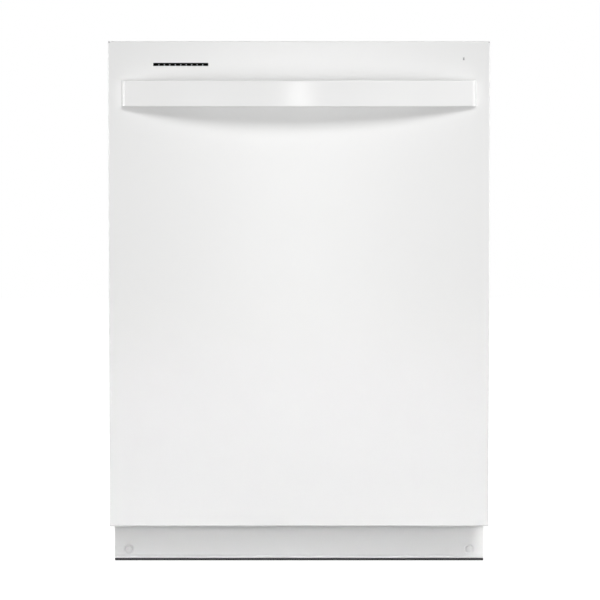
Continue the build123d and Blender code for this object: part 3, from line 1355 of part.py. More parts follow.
def rail_guides():
    """Two moulded guides on each wall of the tub that hold the rails."""
    guides = []
    outer = rail_inner() + RAIL_WIDTH
    for y in (rail_front() + 50, rail_front() + 170):
        base = block((outer + PLAY, TUB_HALF), (y - 22, y + 22), (RAIL_Z - 17, RAIL_Z + 17))
        base = rounded(base, Axis.X, 8)
        x_runner = rail_web() + RAIL_SHEET + PLAY
        runner = rod((x_runner, y, RAIL_Z), (TUB_HALF - 1, y, RAIL_Z), runner_radius())
        guides += both(base + runner)
    return guides


def upper_rack_runners():
    """Side plate on each side of the upper rack with two runners in the rail."""
    inner = UPPER_HALF + 2 * WIRE
    plate_x = (inner, rail_inner() - PLAY)
    y_mid = Y_RACK_REAR - RUNNER_SETBACK
    plate = block(plate_x, (y_mid - 110, y_mid + 60), (RAIL_Z - 22, RAIL_Z + 22))
    plate = rounded(plate, Axis.X, 10)
    for y in (y_mid - 85, y_mid + 35):
        plate += rod((inner + 1, y, RAIL_Z), (rail_web() - PLAY, y, RAIL_Z), runner_radius())
    return both(plate)


def save(name, solids):
    """Write one named piece, or a group of like pieces, to its own file."""
    shapes = solids if isinstance(solids, list) else [solids]
    export_step(Compound([solid for shape in shapes for solid in shape.solids()]), f"parts/{name}.step")


SINGLE = [
    door_outer_panel,
    handle,
    handle_screws,
    vent_louvre,
    vent_duct,
    status_light,
    door_liner,
    door_insulation,
    console,
    control_board,
    door_latch,
    door_strike,
    dispenser,
    dispenser_lid,
    rinse_aid_cap,
    hinge_arms,
    hinge_brackets,
    door_springs,
    tub_wrapper,
    tub_back,
    tub_bottom,
    tub_frame,
    tub_gasket,
    tub_blanket,
    counter_brackets,
    base_frame,
    rear_rollers,
    access_panel,
    access_panel_screws,
    toe_panel,
    toe_seal,
    sump,
    wash_pump,
    drain_pump,
    heater,
    fine_filter,
    filter_cup,
    lower_spray_arm,
    upper_spray_arm,
    upper_manifold,
    feed_tube,
    overfill_float,
    inlet_valve,
    junction_box,
    lower_rack,
    silverware_basket,
    upper_rack,
    upper_rails,
    rail_guides,
    upper_rack_runners,
]

os.makedirs("parts", exist_ok=True)
for make in SINGLE:
    save(make.__name__, make())
for number, x in enumerate(button_places(), start=1):
    save(f"button_{number}", button(x))
for side, place in zip(("left", "right"), foot_places()):
    save(f"front_foot_{side}", front_foot(place))
for end, y in zip(("front", "rear"), wheel_places()):
    save(f"lower_wheels_{end}", lower_wheels(y))
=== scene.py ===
"""Looks of a white built-in dishwasher with a bowed bar handle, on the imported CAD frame."""

import logging
import math
from dataclasses import dataclass
from enum import Enum
from typing import Any, Iterable, Optional, Sequence, Union

import bmesh
import bpy
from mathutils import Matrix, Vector


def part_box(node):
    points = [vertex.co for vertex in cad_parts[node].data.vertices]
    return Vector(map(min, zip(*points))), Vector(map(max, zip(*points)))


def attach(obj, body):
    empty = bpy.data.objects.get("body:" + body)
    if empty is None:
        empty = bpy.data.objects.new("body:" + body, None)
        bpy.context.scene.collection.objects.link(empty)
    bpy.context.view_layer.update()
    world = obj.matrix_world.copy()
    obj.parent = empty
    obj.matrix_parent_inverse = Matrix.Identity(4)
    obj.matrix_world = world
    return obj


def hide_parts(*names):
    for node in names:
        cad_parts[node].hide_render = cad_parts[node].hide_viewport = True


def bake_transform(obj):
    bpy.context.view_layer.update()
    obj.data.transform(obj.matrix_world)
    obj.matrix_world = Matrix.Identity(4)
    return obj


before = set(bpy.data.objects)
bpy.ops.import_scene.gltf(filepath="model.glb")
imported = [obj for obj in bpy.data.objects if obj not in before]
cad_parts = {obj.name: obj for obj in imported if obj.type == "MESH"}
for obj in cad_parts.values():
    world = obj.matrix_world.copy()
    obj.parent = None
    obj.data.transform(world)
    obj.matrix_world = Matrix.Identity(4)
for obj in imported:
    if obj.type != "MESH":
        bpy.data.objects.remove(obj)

LOG = logging.getLogger("dishwasher")
Point = tuple[float, float, float]
MM = 0.001
FLOAT = "NodeSocketFloat"


class Sock:
    """One output socket of a material, with arithmetic on values."""

    def __init__(self, shade: "Shade", socket: bpy.types.NodeSocket) -> None:
        """Keep the socket and the material it belongs to."""
        self.shade = shade
        self.socket = socket

    def math(self, operation: str, first: "Value", second: "Value") -> "Sock":
        """Add one Math node.

        Args:
            operation: Blender's name of the operation.
            first: left operand.
            second: right operand.

        Returns:
            The result.
        """
        return self.shade.add("ShaderNodeMath", {"operation": operation}, {0: first, 1: second})

    def __add__(self, other: "Value") -> "Sock":
        """self + other."""
        return self.math("ADD", self, other)

    def __radd__(self, other: "Value") -> "Sock":
        """other + self."""
        return self.math("ADD", other, self)

    def __sub__(self, other: "Value") -> "Sock":
        """self - other."""
        return self.math("SUBTRACT", self, other)

    def __rsub__(self, other: "Value") -> "Sock":
        """other - self."""
        return self.math("SUBTRACT", other, self)

    def __mul__(self, other: "Value") -> "Sock":
        """self * other."""
        return self.math("MULTIPLY", self, other)

    def __rmul__(self, other: "Value") -> "Sock":
        """other * self."""
        return self.math("MULTIPLY", other, self)

    def less(self, other: "Value") -> "Sock":
        """1 where self is below other."""
        return self.math("LESS_THAN", self, other)

    def repeat(self, period: float) -> "Sock":
        """Distance from the nearest multiple of a period."""
        return self.math("PINGPONG", self, period / 2)


Value = Union[Sock, float]


class Shade:
    """A material under construction: one Principled shader and the nodes that feed it."""

    def __init__(self, name: str) -> None:
        """Start an empty material.

        Args:
            name: name of the finish.
        """
        self.material = bpy.data.materials.new(name)
        self.material.use_nodes = True
        self.tree = self.material.node_tree
        self.tree.nodes.clear()
        self.shader = self.tree.nodes.new("ShaderNodeBsdfPrincipled")
        output = self.tree.nodes.new("ShaderNodeOutputMaterial")
        self.tree.links.new(self.shader.outputs[0], output.inputs["Surface"])

    def add(
        self, kind: str, settings: dict[str, Any], inputs: dict[Any, Any], out: Any = 0
    ) -> Sock:
        """Add any node.

        Args:
            kind: Blender's node type.
            settings: properties of the node.
            inputs: socket name or number to a value or a Sock.
            out: name or number of the output wanted.

        Returns:
            That output.
        """
        node = self.tree.nodes.new(kind)
        for key, value in settings.items():
            setattr(node, key, value)
        for key, value in inputs.items():
            self.join(node.inputs[key], value)
        return Sock(self, node.outputs[out])

    def join(self, socket: bpy.types.NodeSocket, value: Any) -> None:
        """Link a Sock to a socket, or set the socket's own value."""
        if isinstance(value, Sock):
            self.tree.links.new(value.socket, socket)
        else:
            socket.default_value = value

    def put(self, **values: Any) -> "Shade":
        """Set sockets of the shader; underscores stand for spaces in their names.

        Returns:
            This material, for chaining.
        """
        for key, value in values.items():
            self.join(self.shader.inputs[key.replace("_", " ")], value)
        return self

    def place(self) -> Sock:
        """Object coordinates in metres."""
        return self.add("ShaderNodeTexCoord", {}, {}, "Object")

    def stretched(self, scale: Sequence[float]) -> Sock:
        """Object coordinates scaled along each axis."""
        return self.add("ShaderNodeMapping", {}, {"Vector": self.place(), "Scale": tuple(scale)})

    def noise(self, scale: float, detail: float = 3.0, vector: Optional[Sock] = None) -> Sock:
        """Noise between 0 and 1.

        Args:
            scale: cells per metre.
            detail: octaves.
            vector: coordinates, or none for the object's own.

        Returns:
            The value.
        """
        inputs = {"Vector": vector or self.place(), "Scale": scale, "Detail": detail}
        return self.add("ShaderNodeTexNoise", {}, inputs, "Fac")

    def paint(self, factor: Value, colour: Sequence[float], darker: float, lighter: float) -> None:
        """Let the base colour vary about one colour.

        Args:
            factor: value between 0 (dark) and 1 (light).
            colour: the colour.
            darker: share that the darkest tone is below it.
            lighter: share that the lightest tone is above it.
        """
        settings = {"data_type": "RGBA", "blend_type": "MIX"}
        low, high = tinted(colour, -darker), tinted(colour, lighter)
        inputs = {0: factor, 6: (*low, 1.0), 7: (*high, 1.0)}
        self.put(Base_Color=self.add("ShaderNodeMix", settings, inputs, 2))

    def relief(self, height: Sock, depth: float, strength: float = 1.0) -> None:
        """Feed a height into the shader's normal.

        Args:
            height: value between 0 and 1.
            depth: distance in metres between the two.
            strength: share of the effect.
        """
        inputs = {"Height": height, "Distance": depth, "Strength": strength}
        self.put(Normal=self.add("ShaderNodeBump", {}, inputs))


def tinted(colour: Sequence[float], share: float) -> tuple[float, float, float]:
    """A colour made lighter or darker by a share."""
    return tuple(min(1.0, max(0.0, c * (1.0 + share))) for c in colour)


@dataclass(frozen=True)
class Enamel:
    """Baked enamel on sheet: glossy, with a faint orange peel."""

    name: str
    colour: Point
    roughness: float = 0.3
    peel: float = 0.00003

    def material(self) -> bpy.types.Material:
        """Build the finish."""
        shade = Shade(self.name)
        shade.paint(shade.noise(3.0), self.colour, 0.006, 0.006)
        shade.put(Roughness=self.roughness + 0.06 * (shade.noise(40.0) - 0.5))
        shade.put(IOR=1.48)
        shade.relief(shade.noise(420.0, 2.0), self.peel)
        return shade.material


@dataclass(frozen=True)
class Satin:
    """Steel with fine brush lines along one axis."""

    name: str
    colour: Point
    roughness: float
    lines: Point

    def material(self) -> bpy.types.Material:
        """Build the finish."""
        shade = Shade(self.name)
        brush = shade.noise(1.0, 4.0, shade.stretched(self.lines))
        shade.paint(brush, self.colour, 0.1, 0.08)
        shade.put(Roughness=self.roughness + 0.16 * (brush - 0.5), Metallic=1.0)
        shade.relief(brush, 0.00002)
        return shade.material


@dataclass(frozen=True)
class Zinc:
    """Plated steel with a faint crystal pattern."""

    name: str
    colour: Point
    roughness: float = 0.36
    crystals: float = 130.0

    def material(self) -> bpy.types.Material:
        """Build the finish."""
        shade = Shade(self.name)
        inputs = {"Vector": shade.place(), "Scale": self.crystals}
        cells = shade.add("ShaderNodeTexVoronoi", {}, inputs, "Color")
        grey = shade.add("ShaderNodeRGBToBW", {}, {"Color": cells})
        shade.paint(grey, self.colour, 0.12, 0.1)
        shade.put(Roughness=self.roughness + 0.14 * (grey - 0.5), Metallic=1.0)
        return shade.material


@dataclass(frozen=True)
class Moulding:
    """Moulded plastic with a fine eroded grain."""

    name: str
    colour: Point
    roughness: float
    grain: float = 0.00004
    scale: float = 1800.0
    shine: float = 0.5

    def material(self) -> bpy.types.Material:
        """Build the finish."""
        shade = Shade(self.name)
        shade.paint(shade.noise(9.0), self.colour, 0.05, 0.05)
        grain = shade.noise(self.scale, 2.0)
        shade.put(Roughness=self.roughness + 0.1 * (grain - 0.5))
        shade.put(IOR=1.5, Specular_IOR_Level=self.shine)
        shade.relief(grain, self.grain)
        return shade.material


@dataclass(frozen=True)
class Rubber:
    """Soft black rubber with a dusty bloom."""

    name: str
    colour: Point

    def material(self) -> bpy.types.Material:
        """Build the finish."""
        shade = Shade(self.name)
        bloom = shade.noise(60.0, 5.0)
        shade.paint(bloom, self.colour, 0.2, 0.35)
        shade.put(Roughness=0.62 + 0.2 * (bloom - 0.5))
        return shade.material


@dataclass(frozen=True)
class Felt:
    """Pressed fibre pad in mixed greys."""

    name: str
    colour: Point

    def material(self) -> bpy.types.Material:
        """Build the finish."""
        shade = Shade(self.name)
        fibre = shade.noise(900.0, 6.0)
        patch = shade.noise(70.0, 4.0)
        mix = fibre * 0.6 + patch * 0.4
        shade.paint(mix, self.colour, 0.55, 0.6)
        shade.put(Roughness=0.95)
        shade.relief(fibre, 0.0006, 0.7)
        return shade.material


@dataclass(frozen=True)
class FilterMesh:
    """Steel plate with rows of round holes that can be seen through."""

    name: str
    colour: Point
    pitch: float = 0.0064
    radius: float = 0.0010

    def material(self) -> bpy.types.Material:
        """Build the finish."""
        shade = Shade(self.name)
        axes = shade.add("ShaderNodeSeparateXYZ", {}, {0: shade.place()}, 0).socket.node
        x, y = Sock(shade, axes.outputs[0]), Sock(shade, axes.outputs[1])
        across, along = x.repeat(self.pitch), y.repeat(self.pitch)
        hole = (across * across + along * along).less(self.radius**2)
        brush = shade.noise(300.0)
        shade.paint(brush, self.colour, 0.1, 0.1)
        shade.put(Metallic=1.0, Roughness=0.35 + 0.1 * brush, Alpha=1 - hole)
        return shade.material


@dataclass(frozen=True)
class Board:
    """Green solder mask with paler copper runs under it."""

    name: str
    colour: Point
    runs: float = 160.0
    width: float = 0.03

    def material(self) -> bpy.types.Material:
        """Build the finish."""
        shade = Shade(self.name)
        inputs = {"Vector": shade.place(), "Scale": self.runs, "Mortar Size": self.width}
        copper = shade.add("ShaderNodeTexBrick", {}, inputs, "Fac")
        shade.paint(copper, self.colour, 0.0, 0.7)
        shade.put(Roughness=0.4 + 0.1 * shade.noise(50.0))
        return shade.material


@dataclass(frozen=True)
class ClearPipe:
    """Frosted clear moulding."""

    name: str
    colour: Point

    def material(self) -> bpy.types.Material:
        """Build the finish."""
        shade = Shade(self.name)
        frost = shade.noise(600.0)
        shade.paint(frost, self.colour, 0.06, 0.06)
        shade.put(Roughness=0.2 + 0.15 * frost, Transmission_Weight=0.35)
        return shade.material


class Finish(Enum):
    """Every finish on the machine."""

    ENAMEL = Enamel("white_enamel", (0.875, 0.875, 0.87), 0.23)
    HANDLE = Enamel("handle_white", (0.9, 0.9, 0.895), 0.19, 0.00002)
    # The same white paint as the door, made lighter: painted light that brightens the recessed toe
    # kick, its access panel and screws beyond what the lamps give them.
    KICK_LIGHTENED = Enamel("kick_painted_light", (0.945, 0.945, 0.94), 0.4)
    TUB = Satin("tub_steel", (0.66, 0.67, 0.68), 0.34, (900.0, 900.0, 12.0))
    LINER = Satin("liner_steel", (0.68, 0.69, 0.7), 0.32, (14.0, 900.0, 900.0))
    ZINC = Zinc("zinc_steel", (0.56, 0.57, 0.58))
    BRIGHT = Zinc("screw_zinc", (0.7, 0.7, 0.7), 0.24)
    HEATER = Satin("heater_tube", (0.36, 0.34, 0.33), 0.42, (40.0, 40.0, 40.0))
    BLACK = Moulding("black_plastic", (0.022, 0.022, 0.024), 0.42)
    # The vent's duct and louvre are black plastic; this near black, far darker than the other
    # black plastic, is painted shade for the shadow inside the vent's slots.
    VENT_SHADE = Moulding("vent_painted_shade", (0.0015, 0.0015, 0.0015), 0.9, shine=0.1)
    BASE = Moulding("base_plastic", (0.05, 0.05, 0.054), 0.55, 0.00008, 900.0)
    GREY = Moulding("grey_plastic", (0.3, 0.32, 0.34), 0.42)
    PALE = Moulding("pale_plastic", (0.7, 0.71, 0.71), 0.4)
    BUTTON = Moulding("button_grey", (0.46, 0.46, 0.47), 0.45)
    CAP = Moulding("cap_blue", (0.1, 0.17, 0.32), 0.3)
    RUBBER = Rubber("rubber_black", (0.03, 0.03, 0.031))
    FELT = Felt("felt", (0.2, 0.2, 0.21))
    NYLON = Moulding("rack_nylon", (0.33, 0.35, 0.38), 0.36, 0.00003, 900.0)
    FILTER = FilterMesh("filter_mesh", (0.6, 0.61, 0.62))
    BOARD = Board("board_green", (0.03, 0.17, 0.07))
    CLEAR = ClearPipe("light_pipe", (0.5, 0.51, 0.52))


NODE_FINISH: dict[Finish, tuple[str, ...]] = {
    Finish.ENAMEL: ("door_outer_panel",),
    # Painted light: the lighter white of the toe kick, access panel and screws.
    Finish.KICK_LIGHTENED: ("access_panel", "access_panel_screws", "toe_panel"),
    Finish.HANDLE: ("handle",),
    Finish.TUB: ("tub_wrapper", "tub_back", "tub_bottom", "tub_frame", "upper_rails"),
    Finish.LINER: ("door_liner",),
    Finish.HEATER: ("heater",),
    Finish.ZINC: (
        "hinge_arms", "hinge_brackets", "door_springs", "door_strike", "counter_brackets",
        "junction_box", "handle_screws", "front_foot_left", "front_foot_right",
    ),
    Finish.BLACK: ("console", "door_latch", "rear_rollers"),
    # Painted shade: near black on the vent's duct and louvre for the shadow inside its slots.
    Finish.VENT_SHADE: ("vent_duct", "vent_louvre"),
    Finish.BASE: ("base_frame", "wash_pump", "drain_pump"),
    Finish.GREY: (
        "dispenser", "lower_spray_arm", "upper_spray_arm", "upper_manifold", "feed_tube",
        "silverware_basket", "lower_wheels_front", "lower_wheels_rear", "rail_guides",
        "upper_rack_runners", "filter_cup", "sump",
    ),
    Finish.PALE: ("dispenser_lid", "overfill_float", "inlet_valve"),
    Finish.CAP: ("rinse_aid_cap",),
    Finish.BUTTON: tuple(f"button_{i}" for i in range(1, 7)),
    Finish.CLEAR: ("status_light",),
    Finish.BOARD: ("control_board",),
    Finish.FELT: ("door_insulation", "tub_blanket"),
    Finish.RUBBER: ("tub_gasket", "toe_seal"),
    Finish.NYLON: ("lower_rack", "upper_rack"),
    Finish.FILTER: ("fine_filter",),
}

MADE: dict[Finish, bpy.types.Material] = {}


def material_of(finish: Finish) -> bpy.types.Material:
    """The Blender material of a finish, built on first use."""
    if finish not in MADE:
        MADE[finish] = finish.value.material()
    return MADE[finish]


def dress_cad_nodes() -> None:
    """Give every CAD node its finish."""
    for finish, nodes in NODE_FINISH.items():
        for node in nodes:
            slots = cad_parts[node].data.materials
            slots.clear()
            slots.append(material_of(finish))


def in_scene(name: str, data: Any) -> bpy.types.Object:
    """A new object with the given data, linked into the scene."""
    obj = bpy.data.objects.new(name, data)
    bpy.context.scene.collection.objects.link(obj)
    return obj


def link_mesh(name: str, mesh: bpy.types.Mesh, smooth_angle: float = 40.0) -> bpy.types.Object:
    """Put a mesh into the scene.

    Args:
        name: name of the piece.
        mesh: its mesh, in place.
        smooth_angle: edges flatter than this, in degrees, are shaded smooth.

    Returns:
        The new object.
    """
    obj = in_scene(name, mesh)
    mesh.shade_smooth()
    mesh.set_sharp_from_angle(angle=math.radians(smooth_angle))
    return obj


def declare(obj: bpy.types.Object, body: str, slot: str, *nodes: str) -> bpy.types.Object:
    """Tie a piece to a body and hide the nodes it stands for.

    Args:
        obj: the piece.
        body: CAD body that carries it.
        slot: material slot of the record, not used.
        *nodes: CAD nodes that it replaces.

    Returns:
        The piece.
    """
    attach(obj, body)
    if nodes:
        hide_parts(*nodes)
    LOG.info("piece %s rides on %s", obj.name, body)
    return obj


def joined(name: str, meshes: Iterable[bpy.types.Mesh], finish: Finish) -> bpy.types.Object:
    """One piece out of several meshes of one finish.

    Args:
        name: name of the piece.
        meshes: meshes in place; they are used up.
        finish: finish of the whole piece.

    Returns:
        The new object.
    """
    whole = bmesh.new()
    for mesh in meshes:
        whole.from_mesh(mesh)
        bpy.data.meshes.remove(mesh)
    result = bpy.data.meshes.new(name)
    whole.to_mesh(result)
    whole.free()
    for polygon in result.polygons:
        polygon.material_index = 0
    result.materials.clear()
    result.materials.append(material_of(finish))
    return link_mesh(name, result)


class NodeTree:
    """A Geometry Nodes tree with named inputs."""

    def __init__(self, name: str, inputs: dict[str, tuple[str, Any]]) -> None:
        """Start a tree.

        Args:
            name: name of the tree.
            inputs: input name to its socket type and value.
        """
        self.tree = bpy.data.node_groups.new(name, "GeometryNodeTree")
        self.values: dict[str, Any] = {}
        interface = self.tree.interface
        interface.new_socket(name="Geometry", in_out="INPUT", socket_type="NodeSocketGeometry")
        for key, (kind, value) in inputs.items():
            socket = interface.new_socket(name=key, in_out="INPUT", socket_type=kind)
            self.values[socket.identifier] = value
        interface.new_socket(name="Geometry", in_out="OUTPUT", socket_type="NodeSocketGeometry")
        self.start = self.tree.nodes.new("NodeGroupInput")

    def given(self, name: str) -> bpy.types.NodeSocket:
        """The socket of a named input."""
        return self.start.outputs[name]

    def add(
        self, kind: str, settings: dict[str, Any], inputs: dict[Any, Any]
    ) -> bpy.types.NodeSocket:
        """Add a node.

        Args:
            kind: Blender's node type.
            settings: properties of the node.
            inputs: socket to a value, a socket, or a list of sockets where it takes many.

        Returns:
            Its first output.
        """
        node = self.tree.nodes.new(kind)
        for key, value in settings.items():
            setattr(node, key, value)
        for key, value in inputs.items():
            for item in value if isinstance(value, list) else [value]:
                if isinstance(item, bpy.types.NodeSocket):
                    self.tree.links.new(item, node.inputs[key])
                else:
                    node.inputs[key].default_value = item
        return node.outputs[0]

    def tube(self, curve: bpy.types.NodeSocket, sides: Any, radius: Any) -> bpy.types.NodeSocket:
        """Lay a round tube along a curve.

        Args:
            curve: the curve.
            sides: number of sides, or the socket that gives it.
            radius: radius in metres, or the socket that gives it.

        Returns:
            The tube, its ends closed.
        """
        circle = {"Resolution": sides, "Radius": radius}
        ring = self.add("GeometryNodeCurvePrimitiveCircle", {"mode": "RADIUS"}, circle)
        inputs = {"Curve": curve, "Profile Curve": ring, "Fill Caps": True}
        return self.add("GeometryNodeCurveToMesh", {}, inputs)

    def mesh(
        self, source: bpy.types.Mesh, result: bpy.types.NodeSocket, finish: Finish
    ) -> bpy.types.Mesh:
        """Finish the tree, run it on a mesh and keep the result as a plain mesh.

        Args:
            source: mesh that the tree starts from.
            result: geometry to keep.
            finish: material that Set Material gives it.

        Returns:
            The plain mesh.
        """
        real = self.add("GeometryNodeRealizeInstances", {}, {"Geometry": result})
        paint = {"Geometry": real, "Material": material_of(finish)}
        dressed = self.add("GeometryNodeSetMaterial", {}, paint)
        end = self.tree.nodes.new("NodeGroupOutput")
        self.tree.links.new(dressed, end.inputs["Geometry"])
        holder = in_scene("holder", source)
        modifier = holder.modifiers.new("tree", "NODES")
        modifier.node_group = self.tree
        for identifier, value in self.values.items():
            modifier[identifier] = value
        graph = bpy.context.evaluated_depsgraph_get()
        made = bpy.data.meshes.new_from_object(holder.evaluated_get(graph))
        holder.modifiers.remove(modifier)
        bpy.data.objects.remove(holder)
        bpy.data.meshes.remove(source)
        return made


def path_mesh(paths: Sequence[Sequence[Point]], closed: bool) -> bpy.types.Mesh:
    """Edges along several paths.

    Args:
        paths: corner points of each path, in millimetres.
        closed: true where the last point joins the first.

    Returns:
        A mesh of edges, in metres.
    """
    points: list[Point] = []
    edges: list[tuple[int, int]] = []
    for path in paths:
        first = len(points)
        points += [tuple(c * MM for c in p) for p in path]
        edges += [(i, i + 1) for i in range(first, len(points) - 1)]
        if closed:
            edges.append((len(points) - 1, first))
    mesh = bpy.data.meshes.new("paths")
    mesh.from_pydata(points, edges, [])
    return mesh


def bent_wire(
    paths: Sequence[Sequence[Point]], radius: float, bend: float, closed: bool, finish: Finish
) -> bpy.types.Mesh:
    """Round wire along paths, with rounded bends and, on open paths, ball ends.

    Args:
        paths: corner points in millimetres.
        radius: radius of the wire in millimetres.
        bend: radius of the bends in millimetres.
        closed: true for loops.
        finish: finish of the wire.

    Returns:
        The mesh.
    """
    tree = NodeTree(
        "bent_wire",
        {
            "Wire radius": (FLOAT, radius * MM),
            "Bend radius": (FLOAT, bend * MM),
            "Sides": ("NodeSocketInt", 12),
            "Bend steps": ("NodeSocketInt", 5),
        },
    )
    curve = tree.add("GeometryNodeMeshToCurve", {}, {"Mesh": tree.given("Geometry")})
    fillet = {
        "Curve": curve,
        "Count": tree.given("Bend steps"),
        "Radius": tree.given("Bend radius"),
        "Limit Radius": True,
    }
    bent = tree.add("GeometryNodeFilletCurve", {"mode": "POLY"}, fillet)
    parts = [tree.tube(bent, tree.given("Sides"), tree.given("Wire radius"))]
    if not closed:
        ends = tree.add("GeometryNodeCurveEndpointSelection", {}, {"Start Size": 1, "End Size": 1})
        sphere = {"Segments": 10, "Rings": 6, "Radius": tree.given("Wire radius")}
        ball = tree.add("GeometryNodeMeshUVSphere", {}, sphere)
        dots = tree.add("GeometryNodeCurveToPoints", {"mode": "EVALUATED"}, {"Curve": bent})
        tips = {"Points": dots, "Selection": ends, "Instance": ball}
        parts.append(tree.add("GeometryNodeInstanceOnPoints", {}, tips))
    both = tree.add("GeometryNodeJoinGeometry", {}, {"Geometry": parts})
    return tree.mesh(path_mesh(paths, closed), both, finish)


def solid_box(low: Sequence[float], high: Sequence[float], bevel: float) -> bpy.types.Mesh:
    """Box with rounded edges.

    Args:
        low: lowest corner in millimetres.
        high: highest corner in millimetres.
        bevel: radius of the edges in millimetres.

    Returns:
        The mesh, in metres.
    """
    work = bmesh.new()
    bmesh.ops.create_cube(work, size=1.0)
    for vertex in work.verts:
        vertex.co = Vector([(low[i] if vertex.co[i] < 0 else high[i]) * MM for i in range(3)])
    edges = work.edges[:]
    bmesh.ops.bevel(work, geom=edges, offset=bevel * MM, segments=3, profile=0.5, affect="EDGES")
    mesh = bpy.data.meshes.new("box")
    work.to_mesh(mesh)
    work.free()
    return mesh


def spread(low: float, high: float, count: int) -> list[float]:
    """Evenly spaced places from low to high, both included."""
    return [low + (high - low) * i / (count - 1) for i in range(count)]


def circle(radius: float, count: int) -> list[tuple[float, float]]:
    """Points round a circle about the origin."""
    angles = spread(0, 2 * math.pi, count + 1)[:-1]
    return [(radius * math.cos(a), radius * math.sin(a)) for a in angles]


def mirrored(x: float, y: float, heights: Sequence[float]) -> list[Point]:
    """Places at several heights, on the left and then on the right."""
    return [(side * x, y, z) for side in (-1, 1) for z in heights]


@dataclass
class WireRack:
    """A pull-out basket of coated wire, in millimetres."""

    body: str
    half: float
    floor: float
    height: float
    cross: int
    tine_rows: slice
    tine_half: float
    tine_count: int
    tine_height: float
    lean: float
    front: float = -186.0
    rear: float = 284.0
    runs: int = 9
    pitch: float = 24.0
    wire: float = 2.0
    rim: float = 2.6
    tine: float = 1.6
    bend: float = 12.0
    corner: float = 16.0
    tine_bend: float = 1.0

    def rows(self) -> list[float]:
        """Depths of the wires that run across."""
        return spread(self.front + self.pitch, self.rear - self.pitch, self.cross)

    def bows(self) -> list[list[Point]]:
        """Wires that run up one wall, across the floor and up the other."""
        top, floor, low = self.floor + self.height, self.floor, self.floor - 2 * self.wire
        x = self.half - self.wire
        near, far = self.front + self.wire, self.rear - self.wire
        across = [[(-x, y, top), (-x, y, floor), (x, y, floor), (x, y, top)] for y in self.rows()]
        return across + [
            [(p, near, top), (p, near, low), (p, far, low), (p, far, top)]
            for p in spread(-self.half + self.pitch, self.half - self.pitch, self.runs)
        ]

    def loop(self, z: float, radius: float) -> list[Point]:
        """Corners of a level wire round the outside."""
        x, near, far = self.half + radius, self.front - radius, self.rear + radius
        return [(-x, near, z), (x, near, z), (x, far, z), (-x, far, z)]

    def tines(self) -> list[list[Point]]:
        """Leaning tines on the cross wires."""
        places = spread(-self.tine_half, self.tine_half, self.tine_count)
        floor, top = self.floor, self.floor + self.tine_height
        rows = self.rows()[self.tine_rows]
        return [[(x, y, floor), (x, y + self.lean, top)] for y in rows for x in places]

    def meshes(self) -> list[bpy.types.Mesh]:
        """All wires of the basket."""
        nylon = Finish.NYLON
        loops = [self.loop(self.floor + rise, self.wire) for rise in (0.0, self.height / 2)]
        rim = [self.loop(self.floor + self.height, self.rim)]
        return [
            bent_wire(self.bows(), self.wire, self.bend, False, nylon),
            bent_wire(loops, self.wire, self.corner, True, nylon),
            bent_wire(rim, self.rim, self.corner, True, nylon),
            bent_wire(self.tines(), self.tine, self.tine_bend, False, nylon),
        ]

    def build(self, extra: Sequence[bpy.types.Mesh] = ()) -> bpy.types.Object:
        """Make the basket and hide the straight CAD wires behind it."""
        piece = joined(f"{self.body}_wires", [*self.meshes(), *extra], Finish.NYLON)
        return declare(piece, self.body, "rack_nylon", self.body)


@dataclass
class WheelHangers:
    """Lugs and stub axles under the lower rack, in millimetres."""

    axle_z: float = 168.3
    places: tuple[float, float] = (-86.0, 234.0)
    lug: tuple[float, float] = (246.0, 266.0)
    lug_half: float = 9.0
    lug_drop: float = 7.0
    lug_top: float = 188.0
    lug_edge: float = 2.0
    axle_start: float = 252.0
    axle_end: float = 279.0
    axle: float = 4.0
    axle_bend: float = 0.5

    def meshes(self) -> list[bpy.types.Mesh]:
        """Four lugs with their axles."""
        made = []
        axles = []
        for side in (-1, 1):
            for y in self.places:
                inner, outer = sorted(side * x for x in self.lug)
                low = inner, y - self.lug_half, self.axle_z - self.lug_drop
                high = outer, y + self.lug_half, self.lug_top
                made.append(solid_box(low, high, self.lug_edge))
                ends = self.axle_start, self.axle_end - self.axle
                axles.append([(side * x, y, self.axle_z) for x in ends])
        return [*made, bent_wire(axles, self.axle, self.axle_bend, False, Finish.NYLON)]


